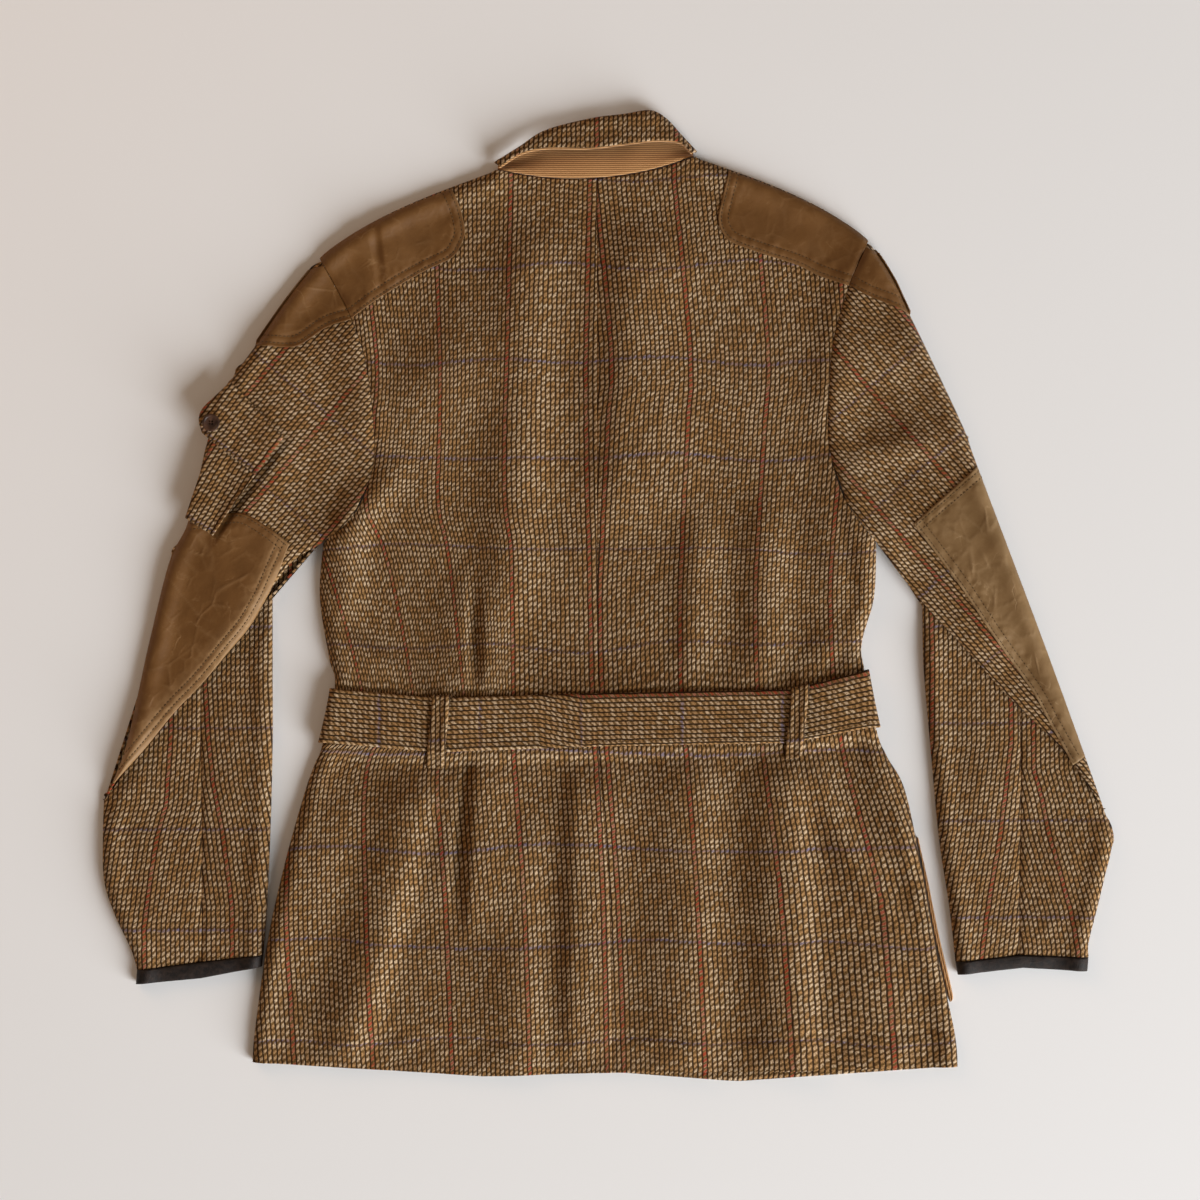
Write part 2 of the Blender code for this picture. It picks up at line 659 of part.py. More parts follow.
class Sleeve:
    """Sections of one sleeve: the upper arm from the armhole to the elbow fold, then the forearm."""

    UPPER_OUTER = 4         # even columns from the rolled edge to the elbow seam, then to the armhole
    UPPER_INNER = 7
    FORE_INNER = 4
    FULL_ROW = 60.0         # shorter rows have their edge steps drawn in

    def __init__(self, side, armhole, arm, outward):
        """Work out the rows from the outline tables; outward is -1 on the left and 1 on the right."""
        upper_arm, elbow_fold, self.seam_share, forearm, cuff_end = arm
        edge = smooth_rows((side[-1], *armhole), (0.0, *ARMHOLE_ROWS))[:, :2]
        run = np.gradient(edge, axis=0)
        out = np.stack([run[:, 1], -run[:, 0]], axis=-1) / np.linalg.norm(run, axis=-1, keepdims=True)
        reach = np.concatenate([[0.0], np.cumsum(np.linalg.norm(np.diff(edge[::-1], axis=0), axis=1))])
        from_shoulder = (reach / reach[-1])[::-1]
        edge = edge + out * np.sign(out[:, :1] * outward) * GAP
        outline = smooth_rows(upper_arm, even_places(upper_arm, CURVE_POINTS))
        rows = [self.upper_row(line_at_shares(outline, [from_shoulder[place]])[0], edge[place])
                for place in range(SLEEVE_HEAD_ROW, ARMPIT_TOP_ROW - 1, -1)]
        fold = self.fold_row((*elbow_fold, tuple(edge[0])), edge[list(ARMPIT_COLUMNS)])
        last = from_shoulder[ARMPIT_TOP_ROW]
        for share in FOLD_ROW_SHARES:
            on_outline = line_at_shares(outline, [last + (1.0 - last) * share])[0]
            row = rows[SLEEVE_HEAD_ROW - ARMPIT_TOP_ROW] * (1.0 - share) + fold * share
            inset = np.linalg.norm(row - row[0], axis=-1)[:, None]
            rows.append(row + (on_outline - row[0]) * np.clip(1.0 - inset / OUTLINE_EASE, 0.0, 1.0))
        self.upper_plan = np.array(rows)
        self.fold_line = fold[:1 - len(ARMPIT_COLUMNS)]
        self.seam_column = len(EDGE_STEPS) - 1 + self.UPPER_OUTER
        forearm = np.array(forearm, dtype=float)
        forearm[0, 2:4] = fold[self.seam_column]
        table = smooth_rows(forearm, FOREARM_PLACES)
        self.fore_outer = np.array([self.fore_half(row, True) for row in table])
        self.fore_inner = np.array([self.fore_half(row, False) for row in table])
        ends = np.array([forearm[-1], cuff_end], dtype=float)
        self.cuff_outer = np.array([self.fore_half(row, True) for row in ends])
        self.cuff_inner = np.array([self.fore_half(row, False) for row in ends])
        outer_line = np.concatenate([self.upper_plan[:, 0], self.fore_outer[1:, 0], self.cuff_outer[1:, 0]])
        self.outlines = [outer_line]
        self.inner_outline = np.concatenate([self.fore_inner[:, -1], self.cuff_inner[1:, -1]])

    def upper_shares(self, length, inner_columns):
        """Shares across the upper arm: the rolled edge, to the elbow seam's line, and on to the end."""
        steps = np.array(EDGE_STEPS) / max(length, self.FULL_ROW)
        to_seam = np.linspace(steps[-1], self.seam_share, self.UPPER_OUTER + 1)[1:]
        to_end = np.linspace(self.seam_share, 1.0, inner_columns + 1)[1:]
        return np.concatenate([steps, to_seam, to_end])

    def upper_row(self, start, end):
        """Plan points from the outer outline straight to the armhole."""
        run = end - start
        shares = self.upper_shares(np.linalg.norm(run), self.UPPER_INNER)
        return start + run * shares[:, None]

    def fold_row(self, elbow_fold, armpit):
        """Plan points along the elbow fold to the armpit, then up the armhole a little way."""
        curve = smooth_rows(elbow_fold, even_places(elbow_fold, CURVE_POINTS))
        length = np.linalg.norm(np.diff(curve, axis=0), axis=1).sum()
        shares = self.upper_shares(length, self.UPPER_INNER - len(armpit) + 1)
        return np.concatenate([line_at_shares(curve, shares[:-1]), armpit])

    def fore_half(self, row, outer_half):
        """Plan points of a forearm row, from the outer edge to the seam or from the seam to the inner."""
        outer, seam, inner = np.array(row[0:2]), np.array(row[2:4]), np.array(row[4:6])
        edge = outer if outer_half else inner
        run = seam - edge
        length = np.linalg.norm(run)
        end = 1.0 - 0.5 * GAP / length
        shares = column_shares(length, end, self.UPPER_OUTER if outer_half else self.FORE_INNER)
        points = edge + run * shares[:, None]
        return points if outer_half else points[::-1]

    def under_row(self, line):
        """Plan points of the underside from the inner edge to the outer, close together at both."""
        length = np.linalg.norm(np.diff(line, axis=0), axis=1).sum()
        steps = np.array(EDGE_STEPS) / max(length, self.FULL_ROW)
        middle = np.linspace(steps[-1], 1.0 - steps[-1], 5)[1:-1]
        shares = np.concatenate([steps, middle, 1.0 - steps[::-1]])
        return line_at_shares(line, shares)

    def top_sleeve(self, name):
        """Upper arm and outer half of the forearm; returns the upper arm's sheet for its patches."""
        upper = raise_sheet(self.upper_plan, upper_arm_height(self.fold_line), self.outlines)
        square_to_seam(upper, (slice(None), -1))
        square_to_seam(upper, (-1, slice(-len(ARMPIT_COLUMNS), None)))
        fore_plan = self.fore_outer[1:]
        fore = raise_sheet(fore_plan, forearm_height, self.outlines)
        square_to_seam(fore, (slice(None), -1))
        rows = len(self.upper_plan)
        spread = [np.concatenate([part, np.repeat(part[:, -1:], self.UPPER_INNER, axis=1)], axis=1)
                  for part in fore]
        sheet = tuple(np.concatenate([a, b]) for a, b in zip(upper, spread))
        cloth_wall(name, sheet, TWEED_WALL, "tweed",
                   keep=lambda row, column: row < rows - 1 or column < self.seam_column)
        return upper

    def under_sleeve(self, name):
        """Inner half of the forearm, round its inner edge to the whole underside of the sleeve."""
        top_plan = self.fore_inner.copy()
        tuck = self.fold_line[-1] - self.fold_line[0]
        up = np.array([-tuck[1], tuck[0]]) / np.linalg.norm(tuck)
        top_plan[0] += TUCK * (up if up[1] > 0 else -up)
        along = top_plan[0, 1] - top_plan[0, 0]
        top_plan[0, 0] += TUCK_INSET * along / np.linalg.norm(along)
        top = raise_sheet(top_plan, tucked_height(self.fold_line), [self.inner_outline])
        square_to_seam(top, (slice(1, None), 0))
        upper = self.upper_plan[:1 - len(FOLD_ROW_SHARES)]
        outer_ends = np.concatenate([upper[:, 0], self.fore_outer[:, 0]])
        armhole_ends = upper[:, -1].copy()
        armhole_ends[-1] = armhole_ends[-2]
        armhole_ends[-1] += (self.fore_inner[0, -1] - armhole_ends[-2]) * FOLD_ROW_SHARES[0]
        inner_ends = np.concatenate([armhole_ends, self.fore_inner[:, -1]])
        middles = np.concatenate([upper[:, self.seam_column], self.fore_outer[:, -1]])
        under_plan = np.array([self.under_row(line) for line in zip(inner_ends, middles, outer_ends)])
        under = lower_sheet(under_plan, [*self.outlines, self.inner_outline])
        missing = len(upper)
        padded = [np.concatenate([np.repeat(part[:1], missing, axis=0), part])[:, :-1] for part in top]
        sheet = tuple(np.concatenate([a, b], axis=1) for a, b in zip(padded, under))
        top_columns = padded[0].shape[1]
        cloth_wall(name, sheet, TWEED_WALL, "tweed",
                   keep=lambda row, column: column >= top_columns or row >= missing)

    def cuff_binding(self, name):
        """A band round the end of the sleeve, a little prouder than the cloth."""
        plan = np.concatenate([self.cuff_outer, self.cuff_inner[:, 1:]], axis=1)
        run = plan[1] - plan[0]
        plan[0] += run / np.linalg.norm(run, axis=-1, keepdims=True) * GAP
        lines = [plan[:, 0], plan[:, -1]]
        top, top_normals = raise_sheet(plan, forearm_height, lines)
        low, low_normals = lower_sheet(plan[:, ::-1], lines)
        top += top_normals * BINDING_PROUD
        ring = np.concatenate([top, low[:, 1:-1]], axis=1)
        normals = np.concatenate([top_normals, low_normals[:, 1:-1]], axis=1)
        cloth_wall(name, (ring, normals), BINDING_WALL, "leather", ring=True)


def prism_cutter(name, outline):
    """Upright prism over a patch's outline, hidden from the finished object."""
    builder = bmesh.new()
    face = builder.faces.new([builder.verts.new((x * MM, y * MM, -ABOVE * MM)) for x, y in outline])
    raised = bmesh.ops.extrude_face_region(builder, geom=[face])
    top = [item for item in raised["geom"] if isinstance(item, bmesh.types.BMVert)]
    bmesh.ops.translate(builder, verts=top, vec=(0, 0, 2 * ABOVE * MM))
    cutter = add_object(name, builder, "waxed_cotton")
    cutter.hide_render = True
    cutter.display_type = "WIRE"
    return cutter


def patch(name, sheet, rows, outline):
    """A waxed patch made from its panel's points moved out, kept inside the patch's outline."""
    points, normals = (part[rows] for part in sheet)
    lifted = points + normals * (GAP + WAXED_WALL)
    shell = cloth_wall(name, (lifted, normals), WAXED_WALL, "waxed_cotton")
    cut = shell.modifiers.new("outline", "BOOLEAN")
    cut.operation = "INTERSECT"
    cut.solver = "EXACT"
    cut.object = prism_cutter(name + "_outline", outline)


def collar():
    """The tweed leaf folded over the needlecord stand."""
    rows = smooth_rows(COLLAR, even_places(COLLAR, COLLAR_COLUMNS))
    top = rows[:, 0:2]
    free = rows[:, 2:4]
    depth = np.linalg.norm(free - top, axis=1)
    leaf = np.array([start + (end - start) * np.array(LEAF_SHARES)[:, None] for start, end in zip(top, free)])

    def leaf_height(points, _):
        distance, _ = nearest_on_lines(points, [free])
        return LEAF_HEIGHT + LEAF_EDGE_LIFT * np.exp(-(distance / LEAF_EDGE_REACH) ** 2)

    sheet = raise_sheet(leaf, leaf_height, [top])
    cloth_wall("collar_leaf", sheet, TWEED_WALL, "tweed")

    neck_x = np.linspace(*STAND_ENDS, COLLAR_COLUMNS)
    line_x = (STAND_ENDS[0], CENTRE_SEAM[-1][1], STAND_ENDS[1])
    line_y = (LEFT_ARMHOLE[-1][2], LEFT_ARMHOLE[-1][3], RIGHT_ARMHOLE[-1][2])
    neck = np.stack([neck_x, np.interp(neck_x, line_x, line_y) + 2 * GAP], axis=-1)
    shares = np.linspace(0.0, 1.0, STAND_ROWS)
    inset = top + (free - top) / depth[:, None] * np.minimum(STAND_INSET, depth * STAND_INSET_MOST)[:, None]
    plan = np.array([a + (b - a) * shares[:, None] for a, b in zip(neck, inset)])
    drop = STAND_NECK + (TWEED_WALL - STAND_NECK) * shares ** 1.5
    heights = np.broadcast_to(drop, plan.shape[:2])
    normals = np.zeros((*plan.shape[:2], 3))
    normals[..., 2] = 1.0
    cloth_wall("collar_stand", (np.dstack([plan, heights]), normals), TWEED_WALL, "needlecord")


def belt():
    """The belt as one closed band round the waist, flat under the fronts."""
    table = np.asarray(BELT, dtype=float)
    sides = [smooth_rows(side, even_places(side, CURVE_POINTS)) for side in (LEFT_SIDE, RIGHT_SIDE)]
    plan = []
    for share in np.linspace(0.0, 1.0, BELT_ROWS):
        level = table[:, 1] + (table[:, 2] - table[:, 1]) * share
        left, right = (np.interp(y, side[:, 1], side[:, 0]) for y, side in zip(level[[0, -1]], sides))
        left -= BELT_CLEAR + BELT_WALL
        right += BELT_CLEAR + BELT_WALL
        run = np.concatenate([
            left + np.array(EDGE_STEPS),
            np.linspace(left + EDGE_STEPS[-1], right - EDGE_STEPS[-1], BELT_COLUMNS)[1:-1],
            right - np.array(EDGE_STEPS[::-1]),
        ])
        plan.append(np.stack([run, np.interp(run, table[:, 0], level)], axis=-1))
    plan = np.array(plan)
    lines = [plan[:, 0], plan[:, -1]]

    def belt_height(points, _):
        return np.full(points.shape[:-1], BELT_BED + 2 * GAP + BELT_WALL)

    top, top_normals = raise_sheet(plan, belt_height, lines)
    low, low_normals = lower_sheet(plan[:, ::-1], lines)
    ring = np.concatenate([top, low[:, 1:-1]], axis=1)
    normals = np.concatenate([top_normals, low_normals[:, 1:-1]], axis=1)
    cloth_wall("belt", (ring, normals), BELT_WALL, "tweed", ring=True)


def belt_loop(name, middle_x, tree):
    """A narrow strip over the belt, its ends on the back."""
    table = np.asarray(BELT, dtype=float)
    x = middle_x + np.linspace(-0.5, 0.5, LOOP_COLUMNS) * LOOP_WIDTH
    top = np.interp(x, table[:, 0], table[:, 1])
    bottom = np.interp(x, table[:, 0], table[:, 2])
    belt_face = BELT_BED + 2 * GAP + BELT_WALL
    levels = np.array([
        top + LOOP_FOOT * 0.4, top + 3.0, top + 1.5, top - 3.0, 0.5 * (top + bottom),
        bottom + 3.0, bottom - 1.5, bottom - 3.0, bottom - LOOP_FOOT,
    ])
    plan = np.stack([np.broadcast_to(x, levels.shape), levels], axis=-1)
    height = height_on(tree, plan, LOOP_CLEAR) + LOOP_CLEAR
    height[2:-2] = belt_face + LOOP_CLEAR
    normals = np.zeros((*plan.shape[:2], 3))
    normals[..., 2] = 1.0
    cloth_wall(name, (np.dstack([plan, height + LOOP_WALL]), normals), LOOP_WALL, "tweed")


def four_corner_plan(corners, rows, columns):
    """Plan points spread between four corners."""
    top_left, top_right, bottom_right, bottom_left = (np.array(corner, dtype=float) for corner in corners)
    across = np.linspace(0.0, 1.0, columns)[:, None]
    plan = []
    for share in np.linspace(0.0, 1.0, rows):
        start = top_left + (bottom_left - top_left) * share
        end = top_right + (bottom_right - top_right) * share
        plan.append(start + (end - start) * across)
    return np.array(plan)


def sleeve_pocket(tree):
    """Pocket bag and flap on the left upper arm; returns the flap's height at the button."""
    for name, corners, lift in (("sleeve_pocket", POCKET_BAG, POCKET_LIFT),
                                ("sleeve_pocket_flap", POCKET_FLAP, FLAP_LIFT)):
        plan = four_corner_plan(corners, POCKET_ROWS, POCKET_ROWS)
        height = height_on(tree, plan, POCKET_REACH) + lift
        normals = np.zeros((*plan.shape[:2], 3))
        normals[..., 2] = 1.0
        sheet = (np.dstack([plan, height + TWEED_WALL]), normals)
        cloth_wall(name, sheet, TWEED_WALL, "tweed")
    place = np.array([[BUTTON_PLACE]], dtype=float)
    return float(height_on(sheet_tree([sheet]), place, BUTTON_RADIUS)[0, 0])


def pocket_button(flap_height):
    """Turned four-hole button with a raised rim, lying on the flap."""
    foot = flap_height + BUTTON_LIFT
    profile = (
        (0.0, BUTTON_THICK - BUTTON_WELL),
        (BUTTON_RADIUS - BUTTON_RIM - BUTTON_ROUND, BUTTON_THICK - BUTTON_WELL),
        (BUTTON_RADIUS - BUTTON_RIM, BUTTON_THICK),
        (BUTTON_RADIUS - BUTTON_ROUND, BUTTON_THICK),
        (BUTTON_RADIUS, BUTTON_THICK - BUTTON_ROUND),
        (BUTTON_RADIUS - BUTTON_ROUND, BUTTON_ROUND),
        (BUTTON_RADIUS - BUTTON_RIM, 0.0),
        (0.0, 0.0),
    )
    builder = bmesh.new()
    points = [builder.verts.new((radius * MM, 0.0, height * MM)) for radius, height in profile]
    edges = [builder.edges.new(pair) for pair in zip(points, points[1:])]
    bmesh.ops.spin(builder, geom=points + edges, cent=(0, 0, 0), axis=(0, 0, 1),
                   angle=math.tau, steps=BUTTON_SIDES, use_merge=True)
    bmesh.ops.remove_doubles(builder, verts=builder.verts[:], dist=0.00005)
    button = add_object("sleeve_pocket_button", builder, "horn")
    for number in range(BUTTON_HOLES):
        angle = math.tau * (number + 0.5) / BUTTON_HOLES
        builder = bmesh.new()
        radius = BUTTON_HOLE_RADIUS * MM
        bmesh.ops.create_cone(builder, cap_ends=True, segments=BUTTON_HOLE_SIDES, radius1=radius,
                              radius2=radius, depth=4 * BUTTON_THICK * MM)
        cutter = add_object("button_hole_%d" % number, builder, "horn")
        spread = BUTTON_HOLE_SPREAD * MM
        cutter.location = (spread * math.cos(angle), spread * math.sin(angle), 0)
        cutter.parent = button
        cutter.hide_render = True
        cutter.display_type = "WIRE"
        hole = button.modifiers.new("hole", "BOOLEAN")
        hole.operation = "DIFFERENCE"
        hole.solver = "EXACT"
        hole.object = cutter
    button.location = (BUTTON_PLACE[0] * MM, BUTTON_PLACE[1] * MM, foot * MM)


def pocket_gusset():
    """The rounded tan edge that shows beside the right of the skirt."""
    side = smooth_rows(RIGHT_SIDE, even_places(RIGHT_SIDE, CURVE_POINTS))
    levels = np.linspace(GUSSET_TOP, GUSSET_BOTTOM, GUSSET_ROWS)
    edge = np.interp(levels, side[:, 1], side[:, 0])
    share = np.linspace(0.0, 1.0, GUSSET_ROWS)
    width = GUSSET_WIDTH * np.clip(np.sqrt(share) * 1.1, 0.25, 1.0)
    width[-1] *= 0.5
    section = ((0.0, 0.0), (0.75, 0.0), (1.0, 0.3), (1.0, 0.62), (0.7, 0.95), (0.35, 1.0), (0.0, 0.9))
    builder = bmesh.new()
    rings = []
    for y, x, wide in zip(levels, edge, width):
        start = x + 4 * GAP
        rings.append([builder.verts.new(((start + wide * a) * MM, y * MM, GUSSET_HEIGHT * b * MM))
                      for a, b in section])
    for upper, lower in zip(rings, rings[1:]):
        for number in range(len(section)):
            after = (number + 1) % len(section)
            builder.faces.new((upper[number], upper[after], lower[after], lower[number]))
    builder.faces.new(rings[0])
    builder.faces.new(rings[-1])
    add_object("right_pocket_gusset", builder, "needlecord")


def main():
    """Build the jacket, piece by piece."""
    clear_scene()
    left_back = back_panel("back_left", LEFT_SIDE, LEFT_ARMHOLE, -GAP / 2)
    right_back = back_panel("back_right", RIGHT_SIDE, RIGHT_ARMHOLE, GAP / 2)
    front_panel("front_left", LEFT_SIDE, LEFT_ARMHOLE, -GAP / 2, -2.0)
    front_panel("front_right", RIGHT_SIDE, RIGHT_ARMHOLE, GAP / 2, FRONT_HEM_PEEP)
    left = Sleeve(LEFT_SIDE, LEFT_ARMHOLE, LEFT_ARM, -1)
    right = Sleeve(RIGHT_SIDE, RIGHT_ARMHOLE, RIGHT_ARM, 1)
    left_arm = left.top_sleeve("left_top_sleeve")
    right_arm = right.top_sleeve("right_top_sleeve")
    left.under_sleeve("left_under_sleeve")
    right.under_sleeve("right_under_sleeve")
    left.cuff_binding("left_cuff_binding")
    right.cuff_binding("right_cuff_binding")
    shoulder_rows = slice(-9, None)
    head_rows = slice(0, 6)
    elbow_rows = slice(3, None)
    patch("left_shoulder_patch", left_back, shoulder_rows, LEFT_SHOULDER_PATCH)
    patch("right_shoulder_patch", right_back, shoulder_rows, RIGHT_SHOULDER_PATCH)
    patch("left_sleeve_head_patch", left_arm, head_rows, LEFT_SLEEVE_HEAD_PATCH)
    patch("right_sleeve_head_patch", right_arm, head_rows, RIGHT_SLEEVE_HEAD_PATCH)
    patch("left_elbow_patch", left_arm, elbow_rows, LEFT_ELBOW_PATCH)
    patch("right_elbow_patch", right_arm, elbow_rows, RIGHT_ELBOW_PATCH)
    pocket_button(sleeve_pocket(sheet_tree([left_arm])))
    collar()
    belt()
    backs = sheet_tree([left_back, right_back])
    belt_loop("left_belt_loop", LEFT_LOOP_X, backs)
    belt_loop("right_belt_loop", RIGHT_LOOP_X, backs)
    pocket_gusset()


if __name__ == "__main__":
    main()
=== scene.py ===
"""Looks of a belted tweed jacket that lies flat with its back up.

Each cloth piece is a fine grid laid through the same sections as its solid, then creased and thickened.
Tables are in millimetres, meshes in metres. +X is to the right and +Y towards the collar, and left and
right are as seen from above.
"""

import logging
import math
from collections.abc import Callable, Sequence
from dataclasses import dataclass, field
from enum import Enum

import bmesh
import bpy
import numpy as np
from mathutils import Matrix, Vector
from mathutils.bvhtree import BVHTree


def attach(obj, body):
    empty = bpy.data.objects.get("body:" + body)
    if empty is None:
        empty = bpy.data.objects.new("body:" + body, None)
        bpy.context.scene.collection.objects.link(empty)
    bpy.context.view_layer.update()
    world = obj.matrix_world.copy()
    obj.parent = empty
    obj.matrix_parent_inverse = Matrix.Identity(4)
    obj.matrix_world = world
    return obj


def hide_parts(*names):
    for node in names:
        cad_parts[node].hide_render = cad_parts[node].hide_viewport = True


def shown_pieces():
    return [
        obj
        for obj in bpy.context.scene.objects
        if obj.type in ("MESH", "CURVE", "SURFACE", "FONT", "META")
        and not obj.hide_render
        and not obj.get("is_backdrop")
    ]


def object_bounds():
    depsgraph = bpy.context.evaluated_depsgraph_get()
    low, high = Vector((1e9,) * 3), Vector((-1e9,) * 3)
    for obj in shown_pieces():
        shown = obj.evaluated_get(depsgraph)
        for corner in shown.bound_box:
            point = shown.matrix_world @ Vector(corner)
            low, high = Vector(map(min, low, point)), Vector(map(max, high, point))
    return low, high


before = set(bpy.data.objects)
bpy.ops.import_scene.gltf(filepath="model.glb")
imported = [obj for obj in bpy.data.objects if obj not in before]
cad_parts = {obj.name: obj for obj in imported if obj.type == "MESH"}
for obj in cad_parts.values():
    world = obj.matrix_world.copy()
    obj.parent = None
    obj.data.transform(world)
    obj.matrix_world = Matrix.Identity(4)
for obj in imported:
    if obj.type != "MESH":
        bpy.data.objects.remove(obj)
CAD_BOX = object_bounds()

LOG = logging.getLogger("jacket")
MM = 0.001
GAP = 0.3
FLOOR_CLEAR = 0.05
BELT_WIDTH = 46.0
ABOVE = 0.1
MERGE = 0.00002
Array = np.ndarray
Table = tuple[tuple[float, ...], ...]
Colour = tuple[float, float, float]
Height = Callable[[Array], Array]


class Slot(Enum):
    """Material slots of the record."""

    TWEED = "tweed"
    WAXED = "waxed_cotton"
    CORD = "needlecord"
    LEATHER = "leather"
    HORN = "horn"


class Side(Enum):
    """Side of the jacket; the value points outwards along X."""

    LEFT = -1
    RIGHT = 1


# Half backs from the hem up to the armpit. Columns: edge_x, edge_y, neck_column_y, centre_seam_y
LEFT_SIDE: Table = (
    (-301, -395, -407, -404), (-299, -368, -378, -374), (-288, -291, -300, -298), (-273, -224, -230, -230),
    (-256, -164, -168, -168), (-248, -142, -150, -146), (-241.5, -126, -134, -129), (-231, -76, -83, -79),
    (-236, -53, -55, -55), (-244, -1, 0, 0), (-241, 45, 46, 47),
)
RIGHT_SIDE: Table = (
    (297, -399, -403, -404), (294, -368, -374, -374), (277, -291, -297, -298), (265, -224, -229, -230),
    (252, -164, -168, -168), (237, -136, -147, -147), (228, -114, -127, -129), (217, -60, -78, -82),
    (216, -38, -52, -55), (226, -1, 0, 0), (228, 44, 46, 47),
)
# Then round the armhole to the shoulder, with the same columns
LEFT_ARMHOLE: Table = (
    (-214, 69, 72, 73), (-199, 107, 110, 111), (-198, 149, 154, 153), (-205, 200, 212, 207),
    (-217, 235, 272, 263), (-230, 261, 318, 311), (-244, 286, 361, 354),
)
RIGHT_ARMHOLE: Table = (
    (201, 81, 78, 76), (188, 124, 118, 115), (187, 166, 160, 157), (191, 217, 216, 207),
    (204, 262, 288, 263), (212, 281, 332, 311), (221, 301, 372, 354),
)
# Centre-back seam. Columns: y, x
CENTRE_SEAM: Table = ((-404, 4), (-257, 2), (-130, -8), (81, -9), (354, -9))
# Belt on the back. Columns: x, top_y, bottom_y
BELT: Table = ((-236, -78, -124), (-142, -86, -132), (-6, -82, -127), (155, -79, -124), (222, -62, -111))
# Collar from end to end. Columns: top_x, top_y, free_edge_x, free_edge_y
COLLAR: Table = (
    (-96, 368, -91, 363), (-75, 381, -74, 374), (-53, 395, -53, 379), (-15, 405, -15, 379),
    (15, 409, 13, 382), (36, 412, 38, 385), (50, 405, 51, 385), (63, 391, 63, 383), (76, 377, 71, 375),
)
# Outer outlines of the upper arms, shoulder to elbow. Columns: x, y
LEFT_UPPER_ARM: Table = (
    (-244, 286), (-269, 255), (-298, 213), (-321, 179), (-339, 132), (-355, 64), (-371, 30), (-388, -37),
    (-409, -130), (-427, -173),
)
RIGHT_UPPER_ARM: Table = (
    (221, 301), (241, 270), (256, 239), (299, 149), (314, 109), (366, -29), (405, -136), (421, -181),
)
# Elbow folds from the outer edge in, short of the armpit. Columns: x, y
LEFT_ELBOW_FOLD: Table = (
    (-427, -173), (-418, -159), (-393, -131), (-367, -99), (-343, -74), (-322, -49), (-302, -25), (-284, 6),
    (-267, 29),
)
RIGHT_ELBOW_FOLD: Table = (
    (421, -181), (409, -164), (386, -131), (362, -107), (337, -83), (314, -57), (290, -31), (266, -5),
)
# Forearms from the fold to the end of the cuff. Columns: outer_x, outer_y, seam_x, seam_y, inner_x, inner_y
LEFT_FOREARM: Table = (
    (-427, -173, -346, -76, -284, 3), (-428, -203, -345, -130, -284, -60),
    (-427, -241, -344, -185, -284, -130), (-418, -270, -344, -235, -286, -205),
    (-404, -300, -344, -282, -289, -268), (-399, -317, -345, -310, -292, -304),
)
LEFT_CUFF_END: tuple[float, ...] = (-400, -329, -345, -324, -293, -314)
RIGHT_FOREARM: Table = (
    (421, -181, 350, -95, 267, -6), (428, -207, 350, -140, 268, -60), (421, -241, 350, -187, 274, -130),
    (414, -270, 349, -235, 281, -205), (408, -294, 349, -280, 290, -265), (408, -306, 349, -304, 295, -310),
)
RIGHT_CUFF_END: tuple[float, ...] = (407, -318, 352, -315, 297, -321)

# Folds: a crest with its own slope on either side. Columns: x0, y0, x1, y1, left_width, right_width, height
BACK_FOLDS: Table = (
    (-68, 300, -84, 0, 23, 24, 6.0),
    (26, 305, 12, 70, 24, 48, 6.0),
    (76, 60, 71, -66, 15, 18, 4.2),
    (133, 70, 131, -72, 17, 19, 5.0),
    (-188, 141, -91, 225, 45, 40, 5.0),
    (-121, 5, -119, -84, 28, 4, 4.0),
    (-103, -5, -103, -84, 5, 24, 5.0),
    (-228, -30, -174, -70, 20, 8, 4.0),
    (-218, 73, -222, -10, 10, 14, 5.0),
    (185, 81, 201, -3, 22, 14, 4.0),
    (205, 81, 219, -3, 8, 12, 4.0),
    (195, -30, 175, -62, 16, 10, 4.0),
    (-216, 234, -203, 132, 22, 18, 3.0),
    (201, 259, 190, 149, 18, 22, 3.0),
    (-231, 35, -180, 107, 14, 16, 3.5),
    (190, 124, 242, 34, 14, 16, 4.5),
    (-228, -173, -281, -321, 20, 30, 4.0),
    (-157, -160, -218, -384, 26, 14, 7.0),
    (-110, -135, -116, -270, 6, 24, 6.0),
    (-70, -200, -72, -404, 30, 16, 4.0),
    (-25, -150, -29, -370, 11, 30, 5.0),
    (70, -145, 68, -404, 35, 22, 6.0),
    (150, -138, 159, -404, 28, 15, 10.0),
    (168, -140, 212, -234, 14, 11, 5.0),
    (212, -234, 264, -305, 14, 12, 4.5),
    (226, -150, 254, -215, 16, 10, 4.0),
    (222, -308, 239, -397, 30, 22, 3.0),
    (-260, 225, -332, -37, 45, 40, 4.0),
    (248, 225, 341, -37, 40, 40, 3.0),
    (221, 122, 282, 132, 14, 14, 3.5),
)
# Lesser folds: the cap of the right sleeve, the ridge beside the sleeve pocket, a pleat under the left loop,
# and the crease across the left shoulder patch
LESSER_FOLDS: Table = (
    (226, 300, 232, 195, 28, 40, 4.0), (-272, 124, -328, 47, 2.6, 15, 1.6),
    (-127, -145, -137, -255, 22, 4, 3.0),
    (-204, 318, -196, 252, 14, 4, 1.2), (-192, 322, -185, 256, 4, 18, 1.2),
)
FOREARM_FOLDS: Table = (
    (-388, -200, -383, -300, 30, 26, 2.6), (-312, -100, -313, -295, 22, 24, 2.4),
    (318, -130, 311, -300, 30, 26, 2.8), (388, -205, 383, -300, 24, 22, 2.8),
)

